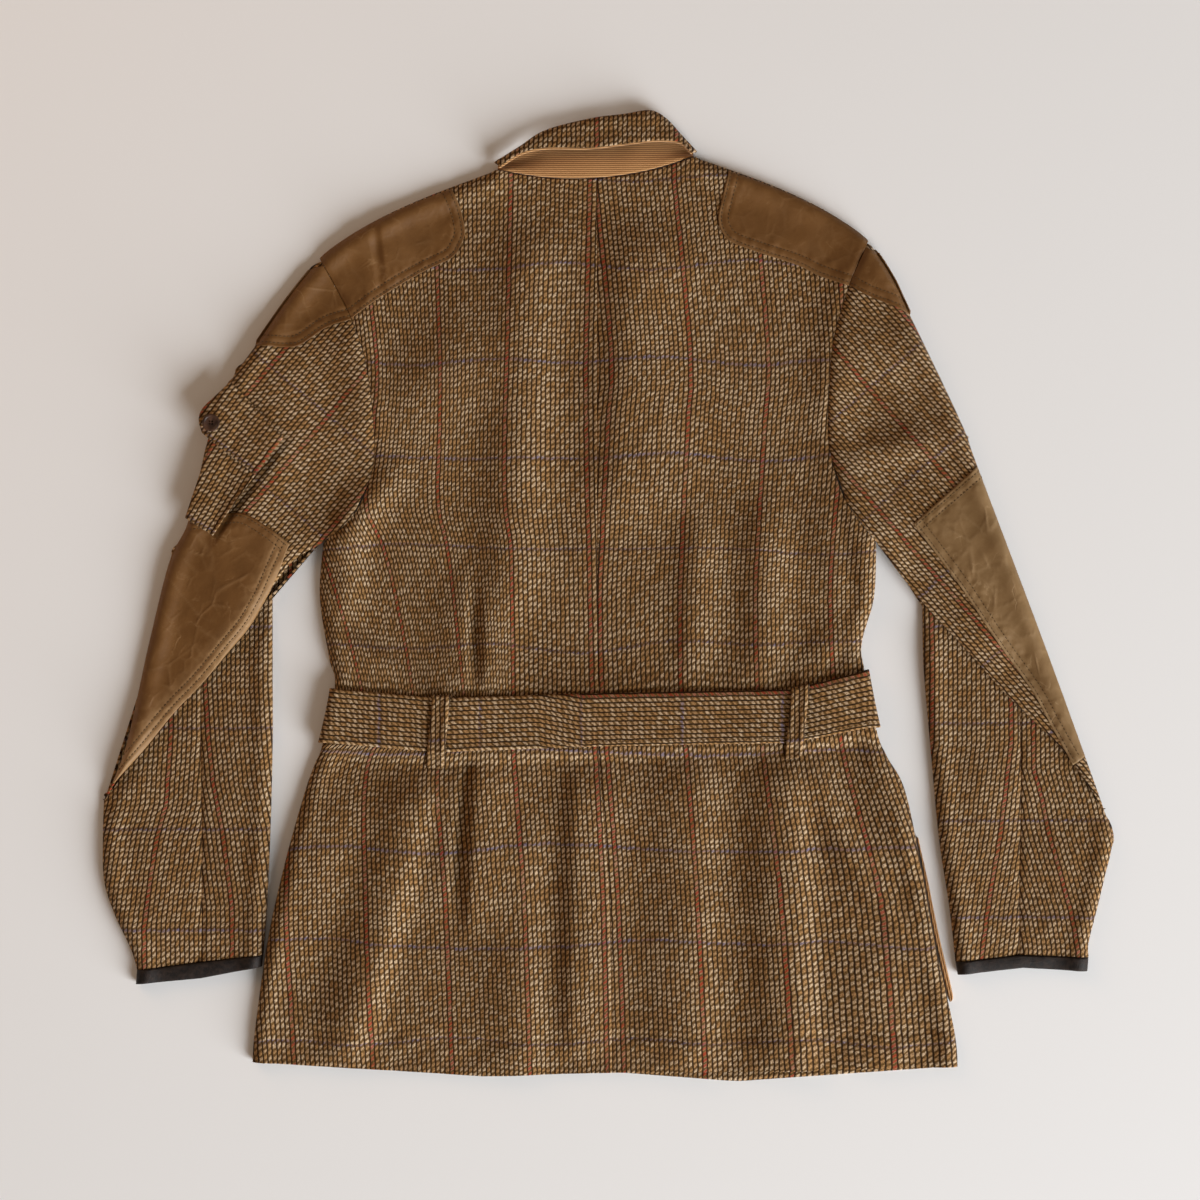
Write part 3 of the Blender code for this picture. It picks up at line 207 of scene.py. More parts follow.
# Red warp stripes of the half backs, from the centre seam out. Columns: y, then the stripes' x
LEFT_STRIPES: Table = (
    (-401, -0.4, -65.6, -131.7, -198.6), (-257, -3.8, -70.7, -137.6, -204.5), (-143, -9.7, -79, -143.6, -203),
    (-100, -12.5, -80, -122, -168), (-80, -13.1, -80, -122, -165), (-3, -14.8, -81, -130, -179),
    (41, -15.7, -82, -136, -190),
    (81, -17, -87, -143.6, -204.5), (146, -18, -87, -142, -197.8), (208, -18.2, -85, -142, -196),
    (354, -14.8, -81.7, -148, -215),
)
RIGHT_STRIPES: Table = (
    (-401, 14, 82.6, 156.3, 243.5), (-257, 8.9, 75.8, 146, 230.8), (-143, 0.4, 67.3, 132.6, 202),
    (-80, -4.7, 62.3, 126.6, 191.8), (-3, -6.4, 61.4, 124.9, 188.5), (41, -4.7, 63.1, 126.6, 190),
    (81, -3, 64.8, 129.2, 193.5), (146, 0.4, 68.2, 133.4, 198.6), (208, 3, 69.9, 136, 201),
    (354, -10.6, 56.3, 123.2, 190),
)
# Red stripes of the forearms, outer and inner half. Columns: y, x
LEFT_OUTER_STRIPE: Table = ((-279, -392), (-243, -387.5), (-205, -381.6), (-176, -374), (-117, -370))
LEFT_INNER_STRIPE: Table = (
    (-297, -318), (-262, -318), (-231, -322), (-197, -326.5), (-159, -334), (-122, -338), (-76, -341),
)
RIGHT_OUTER_STRIPE: Table = (
    (-300, 398), (-269, 392.6), (-234, 383), (-202, 374), (-176, 369), (-146, 361),
)
RIGHT_INNER_STRIPE: Table = ((-304, 317), (-271, 321), (-234, 327), (-200, 333), (-160, 337.5), (-124, 342))

STRIPE_PITCH = 67.3
WEFT_PITCH = 80.0
WEFT_START = 38.5


def smooth_rows(table: Sequence, places: Sequence) -> Array:
    """Read rows of a table at the given places, on a smooth curve through its rows."""
    rows = np.asarray(table, dtype=float)
    places = np.asarray(places, dtype=float)
    first = np.clip(np.floor(places).astype(int), 0, len(rows) - 2)
    t = (places - first)[:, None]
    before = rows[np.maximum(first - 1, 0)]
    start = rows[first]
    end = rows[first + 1]
    after = rows[np.minimum(first + 2, len(rows) - 1)]
    square = 2 * before - 5 * start + 4 * end - after
    cube = 3 * start - before - 3 * end + after
    return 0.5 * (2 * start + (end - before) * t + square * t**2 + cube * t**3)


def smooth_line(table: Sequence, count: int) -> Array:
    """Spread points evenly over a smooth curve through a table's rows."""
    return smooth_rows(table, np.linspace(0, len(table) - 1, count))


def line_at_shares(line: Sequence, shares: Sequence) -> Array:
    """Points of a polyline at shares of its length."""
    line = np.asarray(line, dtype=float)
    reach = np.concatenate([[0.0], np.cumsum(np.linalg.norm(np.diff(line, axis=0), axis=1))])
    wanted = np.asarray(shares) * reach[-1]
    return np.stack([np.interp(wanted, reach, line[:, axis]) for axis in (0, 1)], axis=-1)


def line_between(line: Array, start: Sequence, end: Sequence) -> Array:
    """Stretch of a fine polyline from the point nearest to start to the one nearest to end."""
    first = int(np.linalg.norm(line - np.asarray(start), axis=1).argmin())
    last = int(np.linalg.norm(line - np.asarray(end), axis=1).argmin())
    return line[first:last + 1] if first <= last else line[last:first + 1][::-1]


def distance_to(points: Array, lines: Sequence[Array]) -> Array:
    """Distance from each point to the nearest of some polylines.

    Args:
        points: Plan points, with x and y on the last axis.
        lines: Polylines; long ones are thinned before they are searched.

    Returns:
        Distances, in the points' own layout.
    """
    thinned = [np.asarray(line)[:: max(1, len(line) // 60)] for line in lines]
    thinned = [np.concatenate([thin, np.asarray(line)[-1:]]) for thin, line in zip(thinned, lines)]
    starts = np.concatenate([line[:-1] for line in thinned])
    runs = np.concatenate([np.diff(line, axis=0) for line in thinned])
    lengths = np.maximum((runs**2).sum(-1), 1e-9)
    flat = points.reshape(-1, 2)
    found = np.empty(len(flat))
    for first in range(0, len(flat), 4000):
        offset = flat[first:first + 4000, None] - starts
        share = np.clip((offset * runs).sum(-1) / lengths, 0.0, 1.0)
        found[first:first + 4000] = np.linalg.norm(offset - runs * share[..., None], axis=-1).min(axis=1)
    return found.reshape(points.shape[:-1])


def quarter_round(share: Array) -> Array:
    """Height of a quarter round: 0 at its foot, 1 from its reach onwards."""
    return np.sqrt(1.0 - (1.0 - np.clip(share, 0.0, 1.0)) ** 2)


def smooth_step(share: Array) -> Array:
    """Soft step from 0 to 1."""
    share = np.clip(share, 0.0, 1.0)
    return share * share * (3.0 - 2.0 * share)


def bell(share: Array) -> Array:
    """Soft bell: 1 at 0, near 0 from about 2 on either side."""
    return np.exp(-(share**2))


def edge_shares(length: float, count: int) -> Array:
    """Shares across a section, close together over the rolled edge at its start."""
    steps = np.array((0.0, 0.3, 0.8, 1.5, 2.4, 3.6, 5.0)) / max(length, 60.0)
    return np.concatenate([steps, np.linspace(steps[-1], 1.0, count)[1:]])


def coons_plan(bottom: Array, top: Array, left: Array, right: Array, rows: int, columns: int) -> Array:
    """Fill four border lines with plan points.

    Args:
        bottom: First row's line, from left to right.
        top: Last row's line, from left to right.
        left: First column's line, from bottom to top.
        right: Last column's line, from bottom to top.
        rows: Number of rows.
        columns: Number of columns.

    Returns:
        Points by row and column.
    """
    s = np.linspace(0.0, 1.0, columns)
    t = np.linspace(0.0, 1.0, rows)
    low, high = line_at_shares(bottom, s), line_at_shares(top, s)
    first, last = line_at_shares(left, t), line_at_shares(right, t)
    s, t = s[None, :, None], t[:, None, None]
    corners = (1 - t) * ((1 - s) * low[0] + s * low[-1]) + t * ((1 - s) * high[0] + s * high[-1])
    return (1 - t) * low + t * high + (1 - s) * first[:, None] + s * last[:, None] - corners


@dataclass(frozen=True)
class Ripple:
    """Soft unevenness of a lying cloth: a few seeded waves of mixed length and direction."""

    seed: int
    shortest: float
    longest: float
    count: int = 14

    def at(self, points: Array) -> Array:
        """Wave height at each plan point, about -1 to 1."""
        chance = np.random.default_rng(self.seed)
        lengths = chance.uniform(self.shortest, self.longest, self.count)
        turns = chance.uniform(0.0, math.tau, (2, self.count))
        total = np.zeros(points.shape[:-1])
        for length, turn, phase in zip(lengths, *turns):
            along = points[..., 0] * math.cos(turn) + points[..., 1] * math.sin(turn)
            total += np.sin(along * math.tau / length + phase)
        return total / math.sqrt(self.count)


@dataclass(frozen=True)
class Crumple:
    """Straight creases between seeded cells, as in stiff waxed cloth."""

    seed: int
    spacing: float
    width: float = 1.3

    def at(self, points: Array) -> Array:
        """How creased the cloth is at each plan point, 0 to 1."""
        chance = np.random.default_rng(self.seed)
        flat = points.reshape(-1, 2)
        low, high = flat.min(axis=0) - self.spacing, flat.max(axis=0) + self.spacing
        cells = chance.uniform(low, high, (int(np.prod((high - low) / self.spacing)) + 2, 2))
        near = np.sort(np.linalg.norm(flat[:, None] - cells, axis=-1), axis=1)
        crease = bell((near[:, 1] - near[:, 0]) / self.width).reshape(points.shape[:-1])
        return crease * smooth_step(0.5 + 0.6 * Ripple(self.seed + 5, 20.0, 60.0).at(points))


@dataclass(frozen=True)
class FoldSet:
    """A table of folds and creases that add height to a cloth."""

    rows: Table
    end: float = 28.0
    gain: float = 1.0
    limit: float = 14.0

    def relief(self, points: Array) -> Array:
        """Height that the folds add at each plan point."""
        relief = np.zeros(points.shape[:-1])
        for x0, y0, x1, y1, left_width, right_width, height in self.rows:
            length = math.hypot(x1 - x0, y1 - y0)
            along_x, along_y = (x1 - x0) / length, (y1 - y0) / length
            across_x, across_y = points[..., 0] - x0, points[..., 1] - y0
            along = across_x * along_x + across_y * along_y
            side = across_y * along_x - across_x * along_y
            width = np.where(side < 0, left_width, right_width)
            fade = smooth_step(0.5 + 0.5 * np.minimum(along, length - along) / self.end)
            relief += height * bell(side / width) * fade
        return self.limit * np.tanh(relief * self.gain / self.limit)


@dataclass(frozen=True)
class LaidHeights:
    """Heights of the laid cloth's upper face."""

    folds: FoldSet = FoldSet(BACK_FOLDS + LESSER_FOLDS, gain=2.0)
    forearm_folds: FoldSet = FoldSet(FOREARM_FOLDS)
    broad: Ripple = Ripple(3, 50.0, 170.0)
    fine: Ripple = Ripple(8, 12.0, 38.0)
    edge_mid: float = 4.5
    edge_roll: float = 6.0
    edge_puff: float = 3.4
    puff_crest: float = 8.4
    rest: float = 6.6
    lowest: float = 5.4
    belt_bed: float = 12.8
    belt_reach: float = 2.0
    belt_press: float = 13.0
    belt_under: float = 3.6
    belt_blouse: float = 4.6
    blouse_reach: float = 24.0
    fold_hold: float = 0.5
    lip_foot: float = 9.6
    lip_rise: float = 4.0
    lip_roll: float = 9.0
    lip_reach: float = 24.0
    forearm_rest: float = 6.2
    forearm_puff: float = 1.2
    seam_dip: float = 1.5
    seam_reach: float = 3.0

    @staticmethod
    def past_belt(points: Array) -> tuple[Array, Array, Array]:
        """How far points lie above the belt's top edge, below its bottom edge, and past its ends."""
        table = np.asarray(BELT, dtype=float)
        above = points[..., 1] - np.interp(points[..., 0], table[:, 0], table[:, 1])
        below = np.interp(points[..., 0], table[:, 0], table[:, 2]) - points[..., 1]
        return above, below, np.maximum(table[0, 0] - points[..., 0], points[..., 0] - table[-1, 0])

    def belt_hold(self, points: Array) -> Array:
        """1 under the belt, falling to 0 where its pressure ends."""
        above, below, beyond = self.past_belt(points)
        held = 1.0 - smooth_step((np.maximum(above, below) - self.belt_reach) / self.belt_press)
        return held * (1.0 - smooth_step((beyond - 12.0) / 12.0))

    def beside_belt(self, points: Array) -> tuple[Array, Array]:
        """Height by which the cloth above the belt rises towards it, and how freely folds stand there."""
        above, below, beyond = self.past_belt(points)
        inside = smooth_step(-beyond / 20.0)
        near = bell(np.maximum(np.maximum(above, below), 0.0) / self.blouse_reach) * inside
        return self.belt_blouse * near * (above > 0), 1.0 - self.fold_hold * near

    def puff(self, distance: Array) -> Array:
        """Extra height just inside a rolled edge."""
        return self.edge_puff * bell(distance / self.puff_crest - 1.0)

    def uneven(self, points: Array) -> Array:
        """Broad and fine waviness of cloth that nothing presses."""
        return 0.55 * self.broad.at(points) + 0.16 * self.fine.at(points)

    def back(self, points: Array, puff: Array) -> Array:
        """Back and upper arms, before their edges roll down."""
        blouse, free = self.beside_belt(points)
        relief = np.maximum(self.rest + self.folds.relief(points) * free + self.uneven(points), self.lowest)
        relief = relief + puff + blouse
        held = self.belt_hold(points)
        return relief * (1.0 - held) + self.belt_bed * held

    def mid(self, points: Array) -> Array:
        """Rolled outline, half way round the roll."""
        return self.edge_mid + self.belt_under * self.belt_hold(points)

    def forearm(self, points: Array, puff: Array) -> Array:
        """Forearm, before its edges roll down."""
        folds = self.forearm_folds.relief(points) + self.uneven(points)
        return np.maximum(self.forearm_rest + self.forearm_puff + folds + puff, self.lowest)

    def seams(self, points: Array, lines: Sequence[Array]) -> Array:
        """Depth to take off beside sewn seams."""
        return self.seam_dip * bell(distance_to(points, lines) / self.seam_reach)

    def underside(self, rim: Array | float, distance: Array, floor: Array | float = FLOOR_CLEAR) -> Array:
        """Lower face: flat on the floor, turned up to the rim over the width of the roll."""
        return floor + (rim - floor) * (1.0 - quarter_round(distance / self.edge_roll))

    def rolled(self, points: Array, top: Array, distance: Array) -> Array:
        """Bring a face down to the outline over the width of the roll."""
        mid = self.mid(points)
        return mid + (top - mid) * quarter_round(distance / self.edge_roll)


HEIGHTS = LaidHeights()


@dataclass
class Sheet:
    """A grid of cloth: its places, its own coordinates across and along the warp, and how pale its wear and
    painted highlight make it.
    """

    points: Array
    cloth: Array
    up: bool = True
    wear_and_highlight: Array | None = None

    def facing(self) -> "Sheet":
        """The same grid, with its columns in the order that makes its faces point the right way."""
        across = np.diff(self.points, axis=1)[:-1]
        along = np.diff(self.points, axis=0)[:, :-1]
        upward = np.cross(across, along)[..., 2].sum() > 0
        if upward == self.up:
            return self
        wear_and_highlight = None if self.wear_and_highlight is None else self.wear_and_highlight[:, ::-1]
        return Sheet(self.points[:, ::-1], self.cloth[:, ::-1], self.up, wear_and_highlight)

    def cut(self) -> tuple[float, float, float]:
        """Width, length and area of the flat cut, in metres."""
        width, length = np.ptp(self.cloth.reshape(-1, 2), axis=0) * MM
        across = np.diff(self.cloth, axis=1)[:-1]
        along = np.diff(self.cloth, axis=0)[:, :-1]
        area = np.abs(across[..., 0] * along[..., 1] - across[..., 1] * along[..., 0]).sum() * MM**2
        return float(width), float(length), float(area)


def cloth_mesh(name: str, sheets: Sequence[Sheet]) -> bpy.types.Mesh:
    """Lay grids through the sheets' points in one mesh, with the cloth coordinates as its UV map."""
    builder = bmesh.new()
    sheets = [sheet.facing() for sheet in sheets]
    for sheet in sheets:
        rows, columns = sheet.points.shape[:2]
        bmesh.ops.create_grid(builder, x_segments=columns - 1, y_segments=rows - 1, size=0.5)
    mesh = bpy.data.meshes.new(name)
    builder.to_mesh(mesh)
    builder.free()
    places = np.empty(len(mesh.vertices) * 3, np.float32)
    mesh.vertices.foreach_get("co", places)
    places = places.reshape(-1, 3)
    cloth = np.empty((len(places), 2), np.float32)
    wear_and_highlight = np.zeros(len(places), np.float32)
    start = 0
    for sheet in sheets:
        rows, columns = sheet.points.shape[:2]
        part = slice(start, start + rows * columns)
        column = np.rint((places[part, 0] + 0.5) * (columns - 1)).astype(int)
        row = np.rint((places[part, 1] + 0.5) * (rows - 1)).astype(int)
        places[part] = sheet.points[row, column] * MM
        cloth[part] = sheet.cloth[row, column] * MM
        if sheet.wear_and_highlight is not None:
            wear_and_highlight[part] = sheet.wear_and_highlight[row, column]
        start += rows * columns
    mesh.vertices.foreach_set("co", places.ravel())
    corners = np.empty(len(mesh.loops), np.int32)
    mesh.loops.foreach_get("vertex_index", corners)
    mesh.uv_layers.new(name="cloth").data.foreach_set("uv", cloth[corners].ravel())
    # Paleness per point of the waxed patches: rubbed wear, and along the left elbow fold a painted highlight.
    mesh.attributes.new("wear_and_highlight", "FLOAT", "POINT").data.foreach_set("value", wear_and_highlight)
    mesh.update()
    return mesh


def merge_close(mesh: bpy.types.Mesh) -> None:
    """Merge the mesh's coincident vertices, as where a ring's ends meet."""
    builder = bmesh.new()
    builder.from_mesh(mesh)
    bmesh.ops.remove_doubles(builder, verts=builder.verts[:], dist=MERGE)
    builder.to_mesh(mesh)
    builder.free()


@dataclass
class Piece:
    """A finished object and what it stands for."""

    object: bpy.types.Object
    nodes: tuple[str, ...]

    def thicken(self, wall: float) -> None:
        """Give the piece a wall under its faces, in millimetres."""
        thick = self.object.modifiers.new("wall", "SOLIDIFY")
        thick.thickness = wall * MM
        thick.offset = -1.0

    def report(self) -> None:
        """Log the piece's size."""
        faces = len(self.object.data.polygons)
        LOG.info("%s: %d faces for %s", self.object.name, faces, ", ".join(self.nodes) or "detail")


def add_piece(mesh: bpy.types.Mesh, material: bpy.types.Material, nodes: Sequence[str]) -> Piece:
    """Put a mesh in the scene on the root body, in place of the nodes it stands for."""
    mesh.shade_smooth()
    mesh.materials.clear()
    mesh.materials.append(material)
    made = bpy.data.objects.new(mesh.name, mesh)
    bpy.context.scene.collection.objects.link(made)
    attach(made, "root")
    if nodes:
        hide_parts(*nodes)
    return Piece(made, tuple(nodes))


def add_cloth(name: str, sheets: Sequence[Sheet], wall: float, material: bpy.types.Material) -> Piece:
    """Make a sheet of cloth with a thickness, in place of the node of the same name.

    Args:
        name: Node that it stands for.
        sheets: Grids that make it up.
        wall: Thickness under the grids' faces, in millimetres.
        material: Its finish.

    Returns:
        The finished piece.
    """
    mesh = cloth_mesh("cloth_" + name, sheets)
    piece = add_piece(mesh, material, (name,))
    piece.thicken(wall)
    cuts = [sheet.cut() for sheet in sheets]
    piece.report()
    return piece


FINISH_OUTPUTS = {"Color": "NodeSocketColor", "Roughness": "NodeSocketFloat", "Height": "NodeSocketFloat"}


class Graph:
    """Adds nodes to a shader tree and joins them."""

    def __init__(self, tree: bpy.types.NodeTree) -> None:
        """Work on the given tree."""
        self.tree = tree

    def node(self, kind: str, inputs: dict | None = None, **settings: object) -> bpy.types.Node:
        """Add a node, set its options, and set or link its inputs."""
        made = self.tree.nodes.new(kind)
        for key, value in settings.items():
            setattr(made, key, value)
        for key, value in (inputs or {}).items():
            if isinstance(value, bpy.types.NodeSocket):
                self.tree.links.new(value, made.inputs[key])
            else:
                made.inputs[key].default_value = value
        return made

    def math(self, operation: str, first: object, second: object = 0.0, clamp: bool = False) -> object:
        """Output of a math node."""
        inputs = {0: first, 1: second}
        return self.node("ShaderNodeMath", inputs, operation=operation, use_clamp=clamp).outputs[0]

    def vector(self, operation: str, first: object, second: object) -> object:
        """Output of a vector math node."""
        return self.node("ShaderNodeVectorMath", {0: first, 1: second}, operation=operation).outputs[0]

    def step(self, value: object, low: float, high: float) -> object:
        """Soft step of a value from 0 at low to 1 at high."""
        inputs = {"Value": value, "From Min": low, "From Max": high}
        return self.node("ShaderNodeMapRange", inputs, interpolation_type="SMOOTHSTEP").outputs["Result"]

    def scaled(self, value: object, low: float, high: float) -> object:
        """A 0 to 1 value brought to the range low to high."""
        inputs = {"Value": value, "To Min": low, "To Max": high}
        return self.node("ShaderNodeMapRange", inputs).outputs["Result"]

    def mix(self, share: object, first: object, second: object) -> object:
        """Mix two colours, each a socket or a colour."""
        a, b = (value if isinstance(value, bpy.types.NodeSocket) else (*value, 1.0)
                for value in (first, second))
        return self.node("ShaderNodeMix", {0: share, 6: a, 7: b}, data_type="RGBA").outputs[2]

    def noise(self, vector: object, scale: float, detail: float = 2.0, rough: float = 0.5) -> object:
        """Factor of a noise texture."""
        inputs = {"Vector": vector, "Scale": scale, "Detail": detail, "Roughness": rough}
        return self.node("ShaderNodeTexNoise", inputs).outputs[0]

    def swayed(self, place: object, scale: float, detail: float, middle: float, reach: Colour) -> object:
        """A place moved about by coloured noise.

        Args:
            place: Coordinates to move.
            scale: Scale of the noise.
            detail: Its detail.
            middle: Noise value that moves nothing.
            reach: How far a noise of 1 moves it on each axis.

        Returns:
            The moved coordinates' socket.
        """
        inputs = {"Vector": place, "Scale": scale, "Detail": detail}
        noise = self.node("ShaderNodeTexNoise", inputs).outputs["Color"]
        off = self.vector("SUBTRACT", noise, (middle, middle, middle))
        return self.vector("ADD", place, self.vector("MULTIPLY", off, reach))

    def finish(self, out: bpy.types.Node, colour: object, rough: object,
               height: object) -> bpy.types.NodeTree:
        """Lead a finish's three values to its group's outputs, and give back the group."""
        for name, socket in zip(FINISH_OUTPUTS, (colour, rough, height)):
            self.tree.links.new(socket, out.inputs[name])
        return self.tree

    def xyz(self, x: object, y: object, z: object = 0.0) -> object:
        """Vector from three values."""
        return self.node("ShaderNodeCombineXYZ", {"X": x, "Y": y, "Z": z}).outputs[0]


def new_group(name: str, outputs: dict[str, str]) -> tuple[Graph, bpy.types.Node]:
    """A shader group with the given outputs, and the node that they are linked to."""
    tree = bpy.data.node_groups.new(name, "ShaderNodeTree")
    for output, kind in outputs.items():
        tree.interface.new_socket(output, in_out="OUTPUT", socket_type=kind)
    return Graph(tree), tree.nodes.new("NodeGroupOutput")


def new_material(name: str, group: bpy.types.NodeTree, bump: float, depth: float,
                 constants: dict[str, float]) -> bpy.types.Material:
    """Principled material fed by a group's Color, Roughness and Height.

    Args:
        name: Material's name.
        group: Group with those outputs.
        bump: Strength of the bump.
        depth: Height of the bump, in metres.
        constants: Values of other Principled inputs.

    Returns:
        The material.
    """
    material = bpy.data.materials.new(name)
    material.use_nodes = True
    graph = Graph(material.node_tree)
    shader = material.node_tree.nodes["Principled BSDF"]
    used = graph.node("ShaderNodeGroup", node_tree=group)
    relief = graph.node("ShaderNodeBump", {"Height": used.outputs["Height"]})
    relief.inputs["Strength"].default_value = bump
    relief.inputs["Distance"].default_value = depth
    graph.tree.links.new(used.outputs["Color"], shader.inputs["Base Color"])
    graph.tree.links.new(used.outputs["Roughness"], shader.inputs["Roughness"])
    graph.tree.links.new(relief.outputs["Normal"], shader.inputs["Normal"])
    for key, value in constants.items():
        shader.inputs[key].default_value = value
    return material


@dataclass(frozen=True)
class Tweed:
    """Woven tweed: columns of slanted light dashes on a dark ground, with a red and blue overcheck."""

    columns: int = 17
    dash: float = 4.65
    slant: float = 0.6
    gap: Colour = (0.022, 0.0095, 0.0025)
    ground: Colour = (0.092, 0.041, 0.0095)
    moss: Colour = (0.135, 0.072, 0.019)
    light: Colour = (0.60, 0.430, 0.270)
    straw: Colour = (0.40, 0.215, 0.085)
    red: Colour = (0.27, 0.026, 0.009)
    blue: Colour = (0.155, 0.135, 0.225)

    def group(self) -> bpy.types.NodeTree:
        """The weave as a shader group on the cloth's own coordinates."""
        graph, out = new_group("tweed_weave", FINISH_OUTPUTS)
        cloth = graph.node("ShaderNodeUVMap", uv_map="cloth").outputs[0]
        moved = graph.swayed(cloth, 110.0, 3.0, 0.5, (0.0020, 0.0044, 0.0))
        parts = graph.node("ShaderNodeSeparateXYZ", {0: moved})
        across, along = parts.outputs["X"], parts.outputs["Y"]
        columns = graph.math("ADD", graph.math("DIVIDE", across, STRIPE_PITCH / self.columns * MM), 0.5)
        number = graph.math("FLOOR", columns)
        place = graph.math("FRACT", columns)
        start = graph.node("ShaderNodeTexWhiteNoise", {"W": number}, noise_dimensions="1D").outputs["Value"]
        slant = graph.math("MULTIPLY", place, self.slant)
        lean = graph.math("SUBTRACT", graph.math("MULTIPLY", start, 0.3), slant)
        rows = graph.math("ADD", graph.math("DIVIDE", along, self.dash * MM), lean)
        cell = graph.xyz(number, graph.math("FLOOR", rows))
        chance = graph.node("ShaderNodeTexWhiteNoise", {"Vector": cell}, noise_dimensions="2D")
        chance = chance.outputs["Value"]
        beside = graph.math("ABSOLUTE", graph.math("SUBTRACT", graph.math("MULTIPLY", place, 2.0), 1.0))
        within = graph.math("ABSOLUTE", graph.math(
            "SUBTRACT", graph.math("MULTIPLY", graph.math("FRACT", rows), 2.0), 1.0))
        rib = graph.step(beside, 0.90, 0.40)
        blob = graph.scaled(graph.step(within, 0.78, 0.28), 0.04, 1.0)
        fibre = graph.noise(graph.xyz(graph.math("MULTIPLY", across, 1.6), along), 620.0, 2.0, 0.7)
        fibre = graph.step(fibre, 0.28, 0.72)
        patchy = graph.noise(cloth, 26.0, 3.0, 0.6)
        mossy = graph.math("ADD", fibre, graph.math("MULTIPLY", patchy, 0.5))
        ground = graph.mix(graph.step(mossy, 0.5, 1.0), self.ground, self.moss)
        pale = graph.math("ADD", chance, graph.math("SUBTRACT", patchy, 0.5))
        bright = graph.mix(graph.step(pale, 0.1, 0.9), self.straw, self.light)
        red = graph.math("LESS_THAN", graph.math("FLOORED_MODULO", number, float(self.columns)), 0.5)
        faded = graph.step(graph.noise(cloth, 34.0, 2.0), 0.25, 0.62)
        dots = graph.math("MULTIPLY", graph.step(within, 0.68, 0.26), graph.scaled(faded, 0.35, 0.9))
        weft = self.line(graph, along, WEFT_PITCH, WEFT_START, 0.6, 1.9)
        bright = graph.mix(graph.math("MULTIPLY", weft, graph.scaled(chance, 0.35, 0.95)), bright, self.blue)
        strength = graph.math("MULTIPLY", blob, graph.scaled(fibre, 0.30, 1.15), clamp=True)
        colour = graph.mix(strength, ground, bright)
        colour = graph.mix(graph.math("MULTIPLY", red, dots), colour, self.red)
        raised = graph.math("MULTIPLY", rib, graph.scaled(fibre, 0.8, 1.2), clamp=True)
        colour = graph.mix(raised, self.gap, colour)
        height = graph.math("ADD", graph.math("MULTIPLY", rib, graph.scaled(blob, 0.45, 1.0)),
                            graph.math("MULTIPLY", fibre, 0.4))
        return graph.finish(out, colour, graph.scaled(fibre, 0.88, 1.0), height)

    @staticmethod
    def line(graph: Graph, value: object, pitch: float, start: float, half: float, fade: float) -> object:
        """Mask of evenly spaced lines across a coordinate.

        Args:
            graph: Graph to add to.
            value: Coordinate, in metres.
            pitch: Distance between lines, in millimetres.
            start: Place of one of the lines.
            half: Half a line's width.
            fade: Where it has faded out.

        Returns:
            The mask's socket.
        """
        turns = graph.math("DIVIDE", graph.math("SUBTRACT", value, start * MM), pitch * MM)
        share = graph.math("FRACT", graph.math("ADD", turns, 0.5))
        off = graph.math("ABSOLUTE", graph.math("SUBTRACT", share, 0.5))
        return graph.step(graph.math("MULTIPLY", off, pitch), fade, half)

    def material(self) -> bpy.types.Material:
        """The finish as a material."""
        constants = {"Sheen Weight": 0.04, "Sheen Roughness": 0.6, "Specular IOR Level": 0.08}
        return new_material("tweed", self.group(), 0.45, 0.0006, constants)


@dataclass(frozen=True)
class WaxedCotton:
    """Waxed cotton: mottled, with pale creases, worn edges and, where a patch carries one, a painted
    highlight.
    """

    name: str
    deep: Colour
    mid: Colour
    pale: Colour
    creases: float = 0.5

    def group(self) -> bpy.types.NodeTree:
        """Mottle, creases, wear and painted highlight as a shader group."""
        graph, out = new_group(self.name + "_wax", FINISH_OUTPUTS)
        place = graph.node("ShaderNodeTexCoord").outputs["Object"]
        wear_and_highlight = graph.node("ShaderNodeAttribute", attribute_name="wear_and_highlight").outputs["Fac"]
        mottle = graph.noise(place, 38.0, 5.0, 0.62)
        fine = graph.noise(place, 320.0, 4.0, 0.65)
        bent = graph.swayed(place, 24.0, 4.0, 0.0, (0.06, 0.06, 0.06))
        cracks = graph.node("ShaderNodeTexVoronoi", {"Vector": bent, "Scale": 30.0},
                            feature="DISTANCE_TO_EDGE").outputs["Distance"]
        line = graph.math("MULTIPLY", graph.step(cracks, 0.035, 0.0), graph.step(mottle, 0.50, 0.70))
        # Paleness read from the point attribute: rubbed wear, and along the left elbow fold a painted
        # highlight, plus pale creases.
        wear_and_highlight_mix = graph.math("ADD", graph.math("MULTIPLY", wear_and_highlight, graph.scaled(fine, 0.35, 1.1)),
                          graph.math("MULTIPLY", line, self.creases), clamp=True)
        base = graph.mix(graph.step(mottle, 0.15, 0.75), self.deep, self.mid)
        colour = graph.mix(wear_and_highlight_mix, base, self.pale)
        colour = graph.mix(graph.scaled(fine, 0.0, 0.28), colour, self.deep)
        weave = graph.math("ADD", graph.math("MULTIPLY", mottle, 1.0), graph.math("MULTIPLY", fine, 0.25))
        height = graph.math("SUBTRACT", weave, graph.math("MULTIPLY", line, 0.35))
        return graph.finish(out, colour, graph.scaled(mottle, 0.42, 0.72), height)

    def material(self) -> bpy.types.Material:
        """The finish as a material."""
        return new_material(self.name, self.group(), 0.6, 0.0009, {"Specular IOR Level": 0.22})


